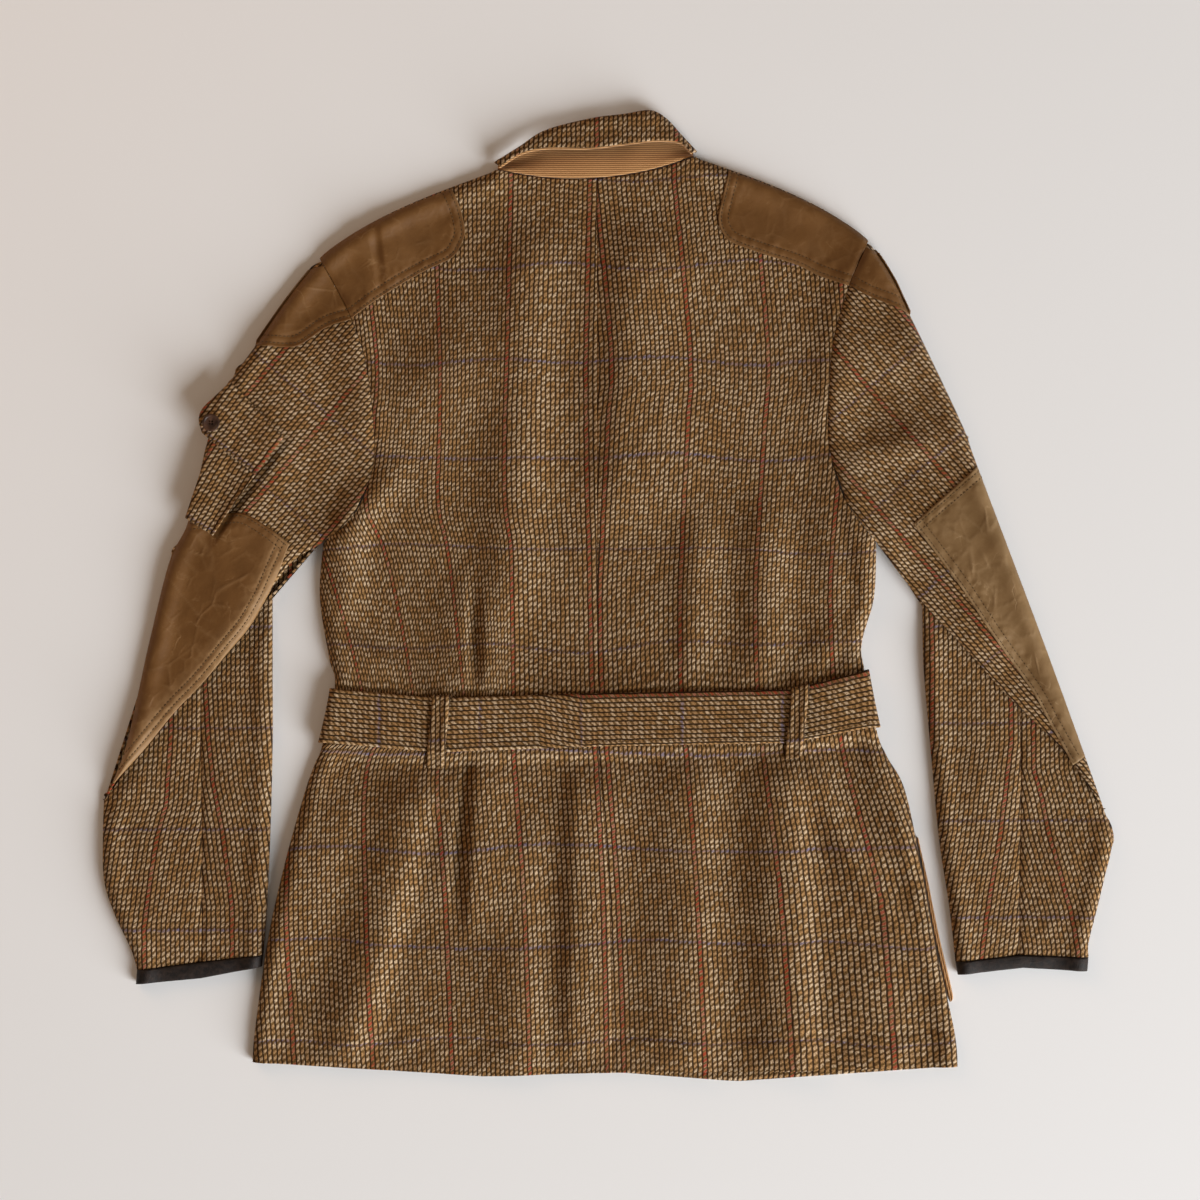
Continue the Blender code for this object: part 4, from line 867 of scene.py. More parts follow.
@dataclass(frozen=True)
class Needlecord:
    """Tan corduroy with fine ribs along its length."""

    rib: float = 1.7
    low: Colour = (0.24, 0.106, 0.030)
    high: Colour = (0.62, 0.325, 0.122)

    def group(self) -> bpy.types.NodeTree:
        """Ribs as a shader group on the cloth's own coordinates."""
        graph, out = new_group("needlecord_ribs", FINISH_OUTPUTS)
        cloth = graph.node("ShaderNodeUVMap", uv_map="cloth").outputs[0]
        along = graph.node("ShaderNodeSeparateXYZ", {0: cloth}).outputs["Y"]
        wave = graph.math("SINE", graph.math("MULTIPLY", along, math.tau / (self.rib * MM)))
        rib = graph.step(wave, -0.9, 0.7)
        nap = graph.noise(cloth, 900.0, 2.0, 0.6)
        shade = graph.math("MULTIPLY", rib, graph.scaled(nap, 0.55, 1.2), clamp=True)
        return graph.finish(out, graph.mix(shade, self.low, self.high), graph.scaled(nap, 0.85, 1.0), rib)

    def material(self) -> bpy.types.Material:
        """The finish as a material."""
        return new_material("needlecord", self.group(), 0.6, 0.0005, {"Sheen Weight": 0.2})


@dataclass(frozen=True)
class Hide:
    """Dark leather or horn: a ground with a lighter grain."""

    name: str
    dark: Colour
    light: Colour
    grain: float
    rough: tuple[float, float]
    depth: float
    coat: float = 0.0
    specular: float = 0.25

    def group(self) -> bpy.types.NodeTree:
        """Grain as a shader group."""
        graph, out = new_group(self.name + "_grain", FINISH_OUTPUTS)
        place = graph.node("ShaderNodeTexCoord").outputs["Object"]
        coarse = graph.noise(place, self.grain, 4.0, 0.6)
        pores = graph.node("ShaderNodeTexVoronoi", {"Vector": place, "Scale": self.grain * 5.0})
        colour = graph.mix(graph.step(coarse, 0.35, 0.7), self.dark, self.light)
        height = graph.math("ADD", pores.outputs["Distance"], coarse)
        return graph.finish(out, colour, graph.scaled(coarse, *self.rough), height)

    def material(self) -> bpy.types.Material:
        """The finish as a material."""
        constants = {"Coat Weight": self.coat, "Specular IOR Level": self.specular}
        return new_material(self.name, self.group(), 0.4, self.depth, constants)


@dataclass
class Finishes:
    """The materials of the jacket, made once."""

    tweed: bpy.types.Material = field(init=False)
    waxed: bpy.types.Material = field(init=False)
    waxed_pale: bpy.types.Material = field(init=False)
    cord: bpy.types.Material = field(init=False)
    leather: bpy.types.Material = field(init=False)
    horn: bpy.types.Material = field(init=False)
    thread: bpy.types.Material = field(init=False)

    def __post_init__(self) -> None:
        """Make each material."""
        self.tweed = Tweed().material()
        self.waxed = WaxedCotton("waxed_cotton", (0.105, 0.044, 0.0105), (0.160, 0.071, 0.0185),
                                 (0.40, 0.240, 0.110), 0.3).material()
        self.waxed_pale = WaxedCotton("waxed_cotton_worn", (0.150, 0.082, 0.030), (0.225, 0.130, 0.053),
                                      (0.46, 0.315, 0.170), 0.5).material()
        self.cord = Needlecord().material()
        self.leather = Hide("leather", (0.006, 0.0035, 0.003), (0.024, 0.014, 0.010), 260.0, (0.45, 0.7),
                            0.0006).material()
        self.horn = Hide("horn", (0.030, 0.014, 0.009), (0.085, 0.040, 0.023), 140.0, (0.30, 0.5), 0.0001,
                         0.1).material()
        self.thread = Hide("thread", (0.050, 0.028, 0.011), (0.13, 0.076, 0.032), 900.0, (0.8, 0.95),
                           0.0001).material()


@dataclass
class HalfBack:
    """One half of the back, from the hem to the shoulder and the neck."""

    side: Side
    edge: Table
    armhole: Table
    stripes: Table
    wall: float = 1.8
    side_rows: int = 180
    armhole_rows: int = 110
    columns: int = 112
    neck_share: float = 0.64
    shoulder_bulge: float = 9.0
    shoulder_depth: float = 60.0
    shoulder_lean: float = 0.7
    neck_sag: float = 3.2
    hem_stitch: float = 30.0

    def __post_init__(self) -> None:
        """Lay out the plan and its lines."""
        self.rows = np.concatenate([
            smooth_line(self.edge, self.side_rows),
            smooth_line((self.edge[-1], *self.armhole), self.armhole_rows)[1:],
        ])
        self.plan = self.lay_out(self.rows, self.columns)
        self.shoulder = self.plan[-1, : int(self.columns * self.neck_share)]
        self.armhole_line = self.plan[self.side_rows - 1:, 0]
        self.outlines = [self.plan[:self.side_rows, 0], self.shoulder]
        self.seams = [self.armhole_line]

    def lay_out(self, rows: Array, columns: int) -> Array:
        """Plan points from the outer edge to the centre seam."""
        seam = np.asarray(CENTRE_SEAM, dtype=float)
        point_y = rows[-1, 1]
        plan = []
        for edge_x, edge_y, neck_y, seam_y in rows:
            seam_x = np.interp(seam_y, seam[:, 0], seam[:, 1]) + self.side.value * 0.02
            shares = edge_shares(abs(seam_x - edge_x), columns - 6)
            y = np.interp(shares, (0.0, self.neck_share, 1.0), (edge_y, neck_y, seam_y))
            near = np.clip(1.0 - (point_y - edge_y) / self.shoulder_depth, 0.0, 1.0)
            slope = np.clip(shares / self.neck_share, 0.0, 1.0) ** self.shoulder_lean
            neck = np.clip((shares - self.neck_share) / (1.0 - self.neck_share), 0.0, 1.0)
            y += near * self.shoulder_bulge * np.sin(math.pi * slope)
            y -= near * self.neck_sag * np.sin(math.pi * neck)
            plan.append(np.stack([edge_x + (seam_x - edge_x) * shares, y], axis=-1))
        return np.array(plan)

    def height(self, points: Array) -> Array:
        """Upper face of the half back."""
        distance = distance_to(points, self.outlines)
        top = HEIGHTS.back(points, HEIGHTS.puff(distance)) - HEIGHTS.seams(points, self.seams)
        from_hem = distance_to(points, [self.plan[0]])
        sewn = np.abs(from_hem - self.hem_stitch - 1.5 * Ripple(87, 40.0, 120.0).at(points))
        ruffle = 0.7 * Ripple(89, 22.0, 60.0).at(points) * np.exp(-((from_hem / 34.0) ** 4))
        return HEIGHTS.rolled(points, top + ruffle - 1.3 * bell(sewn / 2.0), distance)

    def cloth(self, points: Array) -> Array:
        """Cloth coordinates that put the stripes where they lie."""
        table = smooth_line(self.stripes, 160)
        lines = [np.interp(points[..., 1], table[:, 0], column) for column in table[:, 1:].T]
        outward = self.side.value
        offset = outward * (points[..., 0] - lines[0])
        across = offset.copy()
        for number, (near, far) in enumerate(zip(lines, lines[1:])):
            share = outward * (points[..., 0] - near) / np.abs(far - near)
            across = np.where(share > 0, (number + share) * STRIPE_PITCH, across)
        taken_up = np.interp(points[..., 1], (-400, -300, -150, -60), (17, 13, 13, 0))
        waver = 3.5 * Ripple(51, 90.0, 260.0).at(points)
        return np.stack([outward * across, points[..., 1] + taken_up + waver], axis=-1)

    def build(self, finishes: Finishes) -> Piece:
        """Make the half back."""
        name = "back_" + self.side.name.lower()
        sheet = Sheet(np.dstack([self.plan, self.height(self.plan)]), self.cloth(self.plan))
        return add_cloth(name, [sheet], self.wall, finishes.tweed)


@dataclass
class Front:
    """A hidden front that lies on the surface, its side and shoulder turned up to meet the back."""

    back: HalfBack
    peep: float
    wall: float = 1.8
    neck_drop: float = 90.0
    neck_from: float = 207.0

    def build(self, finishes: Finishes) -> Piece:
        """Make the front."""
        rows = self.back.rows[::3].copy()
        rows[-1] = self.back.rows[-1]
        rows[:, 3] -= np.interp(rows[:, 3], (self.neck_from, rows[-1, 3]), (0.0, self.neck_drop))
        rows[:, 2] -= self.peep * smooth_step(1.0 - np.arange(len(rows)) / 6.0)
        plan = self.back.lay_out(rows, 36)
        distance = distance_to(plan, self.back.outlines)
        floor = HEIGHTS.belt_under * HEIGHTS.belt_hold(plan) + FLOOR_CLEAR
        rim = HEIGHTS.mid(plan) - GAP
        height = HEIGHTS.underside(rim, distance, floor)
        sheet = Sheet(np.dstack([plan, height]), self.back.cloth(plan), up=False)
        name = "front_" + self.back.side.name.lower()
        return add_cloth(name, [sheet], self.wall, finishes.tweed)


@dataclass(frozen=True)
class ArmCloth:
    """How the weave runs on a sleeve."""

    stripe_at: tuple[float, float]
    across: tuple[float, float]
    stretch: float
    weft_at: tuple[float, float]
    down: tuple[float, float]
    outer_stripe: Table
    inner_stripe: Table
    fore_weft: float
    fore_pitch: float

    def upper(self, points: Array) -> Array:
        """Cloth coordinates of the upper arm."""
        across = ((points - self.stripe_at) * self.across).sum(-1) * self.stretch
        along = WEFT_START - ((points - self.weft_at) * self.down).sum(-1)
        return np.stack([across, along], axis=-1)

    def fore(self, points: Array, outer: bool) -> Array:
        """Cloth coordinates of a forearm half."""
        table = np.asarray(self.outer_stripe if outer else self.inner_stripe, dtype=float)
        across = points[..., 0] - np.interp(points[..., 1], table[:, 0], table[:, 1])
        along = WEFT_START + (points[..., 1] - self.fore_weft) * WEFT_PITCH / self.fore_pitch
        return np.stack([across, along], axis=-1)


@dataclass
class Sleeve:
    """One sleeve: the upper arm down to the elbow fold, which lies over the forearm, and the cuff."""

    back: HalfBack
    upper_arm: Table
    elbow_fold: Table
    forearm: Table
    cuff_end: tuple[float, ...]
    seam_share: float
    weave: ArmCloth
    wall: float = 1.8
    head_share: float = 0.012
    straight_rows: int = 100
    fold_rows: int = 70
    columns: int = 78
    fore_rows: int = 110
    half_columns: int = 44
    tuck: float = 8.0
    outline_ease: float = 60.0
    binding_wall: float = 2.4

    def __post_init__(self) -> None:
        """Lay out the plan of every part."""
        self.name = self.back.side.name.lower()
        edge = self.back.armhole_line[::-1] + (self.back.side.value * GAP, 0.0)
        outline = smooth_line(self.upper_arm, 200)
        reach = np.concatenate([[0.0], np.cumsum(np.linalg.norm(np.diff(edge, axis=0), axis=1))])
        places = np.linspace(0, 7, len(edge))
        last = float(np.interp(5.25, places, reach / reach[-1]))
        rows = []
        for share in np.linspace(self.head_share, last, self.straight_rows):
            start, end = line_at_shares(outline, [share])[0], line_at_shares(edge, [share])[0]
            shares = edge_shares(np.linalg.norm(end - start), self.columns - 6)
            rows.append(line_at_shares([start, end], shares))
        curve = smooth_line((*self.elbow_fold, tuple(edge[-1])), 120)
        past = edge[places >= 6.0][::-1]
        whole = np.concatenate([curve, past[1:]])
        length = np.linalg.norm(np.diff(whole, axis=0), axis=1).sum()
        fold = line_at_shares(whole, edge_shares(length, self.columns - 6))
        straight = rows[-1]
        for share in np.linspace(0.0, 1.0, self.fold_rows)[1:]:
            on_outline = line_at_shares(outline, [last + (1.0 - last) * share])[0]
            row = straight * (1.0 - share) + fold * share
            inset = np.linalg.norm(row - row[0], axis=-1)[:, None]
            rows.append(row + (on_outline - row[0]) * np.clip(1.0 - inset / self.outline_ease, 0.0, 1.0))
        self.upper_plan = np.array(rows)
        self.fold_line = curve
        table = np.array(self.forearm, dtype=float)
        table[0, 2:4] = line_at_shares(curve, [self.seam_share])[0]
        ends = np.array([table[-1], self.cuff_end])
        table = smooth_line(table, self.fore_rows)
        self.fore_outer = self.halves(table, True)
        self.fore_inner = self.halves(table, False)
        cuff = ends[0] + (ends[1] - ends[0]) * np.linspace(0.03, 1.0, 9)[:, None]
        self.cuff_plan = np.concatenate([self.halves(cuff, True), self.halves(cuff, False)[:, 1:]], axis=1)
        outer_line = np.concatenate([self.upper_plan[:, 0], self.fore_outer[1:, 0], self.cuff_plan[:, 0]])
        self.outlines = [outer_line]
        self.inner_outline = np.concatenate([self.fore_inner[:, -1], self.cuff_plan[:, -1]])
        self.elbow_seam = self.fore_outer[:, -1]

    def halves(self, table: Array, outer: bool) -> Array:
        """Plan points of a forearm half, outer edge to seam or seam to inner edge."""
        made = []
        for row in table:
            border, seam = (row[0:2] if outer else row[4:6]), row[2:4]
            shares = edge_shares(np.linalg.norm(seam - border), self.half_columns - 6)
            points = line_at_shares([border, seam], shares)
            made.append(points if outer else points[::-1])
        return np.array(made)

    def upper_height(self, points: Array) -> Array:
        """Upper face of the upper arm, down to its lip along the elbow fold."""
        distance = distance_to(points, self.outlines)
        lip = distance_to(points, [self.fold_line])
        top = HEIGHTS.back(points, HEIGHTS.puff(distance)) - HEIGHTS.seams(points, [self.back.armhole_line])
        top = top + HEIGHTS.lip_rise * bell(lip / HEIGHTS.lip_reach)
        top = HEIGHTS.lip_foot + (top - HEIGHTS.lip_foot) * quarter_round(lip / HEIGHTS.lip_roll)
        return HEIGHTS.rolled(points, top, distance)

    def fore_height(self, points: Array) -> Array:
        """Upper face of the forearm, lowest where the elbow fold lies over it."""
        distance = distance_to(points, [*self.outlines, self.inner_outline])
        top = HEIGHTS.forearm(points, HEIGHTS.puff(distance)) - HEIGHTS.seams(points, [self.elbow_seam])
        clear = smooth_step(distance_to(points, [self.fold_line]) / HEIGHTS.lip_reach)
        top = HEIGHTS.forearm_rest + clear * (top - HEIGHTS.forearm_rest)
        return HEIGHTS.rolled(points, top, distance)

    def tucked(self, plan: Array) -> Array:
        """Run a forearm half on under the elbow fold."""
        run = self.fold_line[-1] - self.fold_line[0]
        up = np.array([-run[1], run[0]]) / np.linalg.norm(run)
        up = up if up[1] > 0 else -up
        from_edge = distance_to(plan[0], [*self.outlines, self.inner_outline])
        inside = smooth_step((from_edge - 2.0) / 16.0)[:, None]
        extra = [plan[0] + up * (0.2 + self.tuck * inside) * share for share in (1.0, 0.66, 0.33)]
        return np.concatenate([np.array(extra), plan])

    def fore_sheet(self, outer: bool) -> Sheet:
        """A forearm half as a sheet."""
        plan = self.fore_outer if outer else self.fore_inner
        run = self.tucked(plan)
        height = self.fore_height(run)
        height[:3] = np.minimum(height[:3], HEIGHTS.forearm_rest)
        return Sheet(np.dstack([run, height]), self.weave.fore(run, outer))

    def build_top(self, finishes: Finishes) -> Piece:
        """Make the upper arm and the outer half of the forearm."""
        upper = Sheet(np.dstack([self.upper_plan, self.upper_height(self.upper_plan)]),
                      self.weave.upper(self.upper_plan))
        sheets = [upper, self.fore_sheet(True)]
        return add_cloth(self.name + "_top_sleeve", sheets, self.wall, finishes.tweed)

    def build_under(self, finishes: Finishes) -> Piece:
        """Make the inner half of the forearm and the sleeve's underside."""
        upper = self.upper_plan[: self.straight_rows + 20: 4]
        outer = np.concatenate([upper[:, 0], self.fore_outer[2::4, 0]])
        middle = np.concatenate([upper[:, self.columns // 2], self.fore_outer[2::4, -1]])
        inner = np.concatenate([upper[:, -1], self.fore_inner[2::4, -1]])
        shares = np.concatenate([edge_shares(200.0, 9)[:-1] * 0.5, 1.0 - edge_shares(200.0, 9)[::-1] * 0.5])
        plan = np.array([line_at_shares(line, shares) for line in zip(inner, middle, outer)])
        distance = distance_to(plan, [*self.outlines, self.inner_outline])
        rim = HEIGHTS.edge_mid - GAP
        height = HEIGHTS.underside(rim, distance)
        below = Sheet(np.dstack([plan, height]), plan.copy(), up=False)
        node, sheets = self.name + "_under_sleeve", [self.fore_sheet(False), below]
        return add_cloth(node, sheets, self.wall, finishes.tweed)

    def build_cuff(self, finishes: Finishes) -> Piece:
        """Make the leather binding round the end of the sleeve."""
        plan = self.cuff_plan
        lines = [plan[:, 0], plan[:, -1]]
        distance = distance_to(plan, lines)
        swell = 0.7 * np.sin(np.linspace(0.12, 1.0, len(plan)) * math.pi)[:, None]
        top = HEIGHTS.rolled(plan, HEIGHTS.forearm(plan, HEIGHTS.puff(distance)) + 0.4 + swell, distance)
        low = HEIGHTS.underside(HEIGHTS.edge_mid, distance)
        ring = np.concatenate([np.dstack([plan, top]), np.dstack([plan, low])[:, ::-1][:, 1:]], axis=1)
        mesh = cloth_mesh("cuff_" + self.name, [Sheet(ring, ring[..., :2])])
        merge_close(mesh)
        outward_faces(mesh)
        piece = add_piece(mesh, finishes.leather, (self.name + "_cuff_binding",))
        piece.thicken(self.binding_wall)
        piece.report()
        return piece


def outward_faces(mesh: bpy.types.Mesh) -> None:
    """Turn a ring's faces to point away from its inside."""
    builder = bmesh.new()
    builder.from_mesh(mesh)
    bmesh.ops.recalc_face_normals(builder, faces=builder.faces[:])
    highest = max(builder.faces, key=lambda face: face.calc_center_median().z)
    if highest.normal.z < 0:
        bmesh.ops.reverse_faces(builder, faces=builder.faces[:])
    builder.to_mesh(mesh)
    builder.free()


@dataclass
class Patch:
    """A waxed patch over a panel, filled in between its border lines."""

    node: str
    plan: Array
    under: Height
    rests_on: str
    wear_and_highlight: Array
    cloth: Array
    sewn: Sequence[Array]
    creased: float
    seed: int
    lift: float = 1.0
    wall: float = 0.75
    pucker: float = 0.25
    cell: float = 24.0

    def build(self, material: bpy.types.Material) -> Piece:
        """Make the patch: dented along its sewing, puckered beside it, and creased."""
        from_sewing = distance_to(self.plan, self.sewn)
        dent = 0.4 * bell(from_sewing / 1.3)
        pucker = self.pucker * Ripple(self.seed, 6.0, 15.0).at(self.plan) * bell(from_sewing / 7.0)
        fine = Crumple(self.seed + 1, self.cell * 0.6).at(self.plan)
        crease = Crumple(self.seed, self.cell).at(self.plan) + 0.6 * fine
        clear = smooth_step(from_sewing / 9.0)
        height = self.under(self.plan) + self.lift - dent + pucker + self.creased * crease * clear
        wear_and_highlight = self.wear_and_highlight + 0.5 * self.creased * crease * clear
        sheet = Sheet(np.dstack([self.plan, height]), self.cloth, wear_and_highlight=wear_and_highlight)
        return add_cloth(self.node, [sheet], self.wall, material)


@dataclass
class Belt:
    """The belt as one closed band round the waist, and its two loops."""

    left: HalfBack
    right: HalfBack
    wall: float = 3.0
    clear: float = 1.2
    rows: int = 25
    columns: int = 180
    loops: tuple[tuple[str, float], ...] = (("left_belt_loop", -143.0), ("right_belt_loop", 160.0))
    loop_width: float = 15.0
    loop_foot: float = 14.0
    loop_lean: float = 6.0
    loop_wall: float = 1.8

    @property
    def face(self) -> float:
        """Height of the belt's upper face."""
        return HEIGHTS.belt_bed + 2 * GAP + self.wall

    def plan(self) -> Array:
        """Plan points of the run that shows."""
        table = np.asarray(BELT, dtype=float)
        made = []
        for share in np.linspace(0.0, 1.0, self.rows):
            level = table[:, 1] + (table[:, 2] - table[:, 1]) * share
            ends = [np.interp(y, half.rows[:half.side_rows, 1], half.rows[:half.side_rows, 0])
                    for y, half in zip(level[[0, -1]], (self.left, self.right))]
            start, end = ends[0] - self.clear - self.wall, ends[1] + self.clear + self.wall
            half_run = edge_shares(end - start, self.columns // 2) * 0.5
            run = start + (end - start) * np.concatenate([half_run, 1.0 - half_run[-2::-1]])
            made.append(np.stack([run, np.interp(run, table[:, 0], level)], axis=-1))
        return np.array(made)

    def height(self, plan: Array) -> Array:
        """Upper face, a little wavy and rolled at its cut edges."""
        rise = np.full(plan.shape[:-1], self.face) + 0.55 * Ripple(21, 26.0, 80.0).at(plan)
        share = np.linspace(0.0, 1.0, len(plan))[:, None]
        rise = rise - 0.6 * (1.0 - quarter_round(np.minimum(share, 1.0 - share) * BELT_WIDTH / 2.0))
        return HEIGHTS.rolled(plan, rise, distance_to(plan, [plan[:, 0], plan[:, -1]]))

    def build(self, finishes: Finishes) -> Piece:
        """Make the belt."""
        plan = self.plan()
        distance = distance_to(plan, [plan[:, 0], plan[:, -1]])
        low = HEIGHTS.underside(HEIGHTS.mid(plan), distance)
        upper, lower = np.dstack([plan, self.height(plan)]), np.dstack([plan, low])
        points = np.concatenate([upper, lower[:, ::-1][:, 1:]], axis=1)
        along = np.concatenate([plan[..., 0], 2 * plan[:, -1:, 0] - plan[:, ::-1, 0][:, 1:]], axis=1)
        across = np.broadcast_to(np.linspace(0.0, BELT_WIDTH, self.rows)[:, None], along.shape)
        red = 2.6 - np.interp(along, (-60, -20), (9.0, 0.0))
        cloth = np.stack([across - red, (along + 22.4) * 0.94 + WEFT_START], axis=-1)
        mesh = cloth_mesh("cloth_belt", [Sheet(points, cloth)])
        merge_close(mesh)
        outward_faces(mesh)
        piece = add_piece(mesh, finishes.tweed, ("belt",))
        piece.thicken(self.wall)
        piece.report()
        return piece

    def build_loop(self, name: str, middle: float, finishes: Finishes) -> Piece:
        """Make a narrow strip over the belt, its ends on the back."""
        table = np.asarray(BELT, dtype=float)
        half = self.left if middle < 0 else self.right
        x = middle + np.linspace(-0.5, 0.5, 13) * self.loop_width
        top, bottom = np.interp(x, table[:, 0], table[:, 1]), np.interp(x, table[:, 0], table[:, 2])
        share = np.linspace(0.0, 1.0, 46)[:, None]
        y = top + 2.0 - share * (top - bottom + 2.0 + self.loop_foot)
        plan = np.stack([x + self.loop_lean * (0.5 - share), y], axis=-1)
        over = smooth_step((3.5 - np.maximum(y - top, bottom - y)) / 3.0)
        foot = half.height(plan) + 0.8 + self.loop_wall
        height = foot + (np.maximum(self.face + 0.8 + self.loop_wall, foot) - foot) * over
        edge = np.minimum(x - x[0], x[-1] - x)
        rolled = 0.5 * (1.0 - quarter_round(edge / 2.0))
        height = height - rolled + 1.8 * bell((x[-1] - x - 3.0) / 2.4)
        cloth = np.stack([plan[..., 0] - middle + 20.0, plan[..., 1]], axis=-1)
        return add_cloth(name, [Sheet(np.dstack([plan, height]), cloth)], self.loop_wall, finishes.tweed)


@dataclass
class Collar:
    """The tweed leaf folded over the needlecord stand."""

    columns: int = 130
    rows: int = 24
    leaf_height: float = 13.0
    edge_lift: float = 2.0
    edge_reach: float = 8.0
    stand_neck: float = 7.6
    stand_ends: tuple[float, float] = (-93.0, 72.0)
    stand_inset: float = 6.0
    neck_sag: float = 3.2
    lining_peep: float = 1.5
    wall: float = 2.0

    def __post_init__(self) -> None:
        """Lay out the collar's fold and its free edge."""
        lines = smooth_line(COLLAR, self.columns)
        self.top, self.free = lines[:, 0:2], lines[:, 2:4]

    def build_leaf(self, finishes: Finishes) -> Piece:
        """Make the leaf."""
        shares = edge_shares(30.0, self.rows - 6)[:, None, None]
        plan = self.top + (self.free - self.top) * shares
        lift = self.edge_lift * bell(distance_to(plan, [self.free]) / self.edge_reach)
        rise = self.leaf_height + lift + 0.35 * Ripple(31, 18.0, 70.0).at(plan)
        height = HEIGHTS.rolled(plan, rise, distance_to(plan, [self.top]))
        cloth = plan + (9.0, 8.0)
        return add_cloth("collar_leaf", [Sheet(np.dstack([plan, height]), cloth)], self.wall, finishes.tweed)

    def build_stand(self, finishes: Finishes) -> Piece:
        """Make the stand that shows between the leaf and the neck seam, and the leaf's lining at its edge."""
        neck_x = np.linspace(*self.stand_ends, self.columns)
        line_x = (self.stand_ends[0], CENTRE_SEAM[-1][1], self.stand_ends[1])
        line_y = (LEFT_ARMHOLE[-1][2], LEFT_ARMHOLE[-1][3], RIGHT_ARMHOLE[-1][2])
        share = np.interp(neck_x, line_x, (0.0, 1.0, 2.0))
        neck_y = np.interp(neck_x, line_x, line_y) - self.neck_sag * np.abs(np.sin(math.pi * share)) + 2 * GAP
        neck = np.stack([neck_x, neck_y], axis=-1)
        depth = np.linalg.norm(self.free - self.top, axis=1)[:, None]
        inset = self.top + (self.free - self.top) / depth * np.minimum(self.stand_inset, depth * 0.6)
        shares = np.linspace(0.0, 1.0, self.rows)
        plan = neck + (inset - neck) * shares[:, None, None]
        drop = self.stand_neck + (self.wall - self.stand_neck) * smooth_step((shares - 0.15) / 0.6)
        height = np.broadcast_to(drop[:, None], plan.shape[:2]) + 0.2 * Ripple(33, 20.0, 60.0).at(plan)
        out = (neck - self.free) / np.maximum(np.linalg.norm(neck - self.free, axis=1), 1.0)[:, None]
        lining = self.free + out * np.linspace(-3.0, self.lining_peep, 5)[:, None, None]
        low = np.full(lining.shape[:2], self.leaf_height + self.edge_lift - self.wall - 0.4)
        faces = ((plan, height), (lining, low))
        sheets = [Sheet(np.dstack([place, rise]), place.copy()) for place, rise in faces]
        return add_cloth("collar_stand", sheets, self.wall - 0.4, finishes.cord)


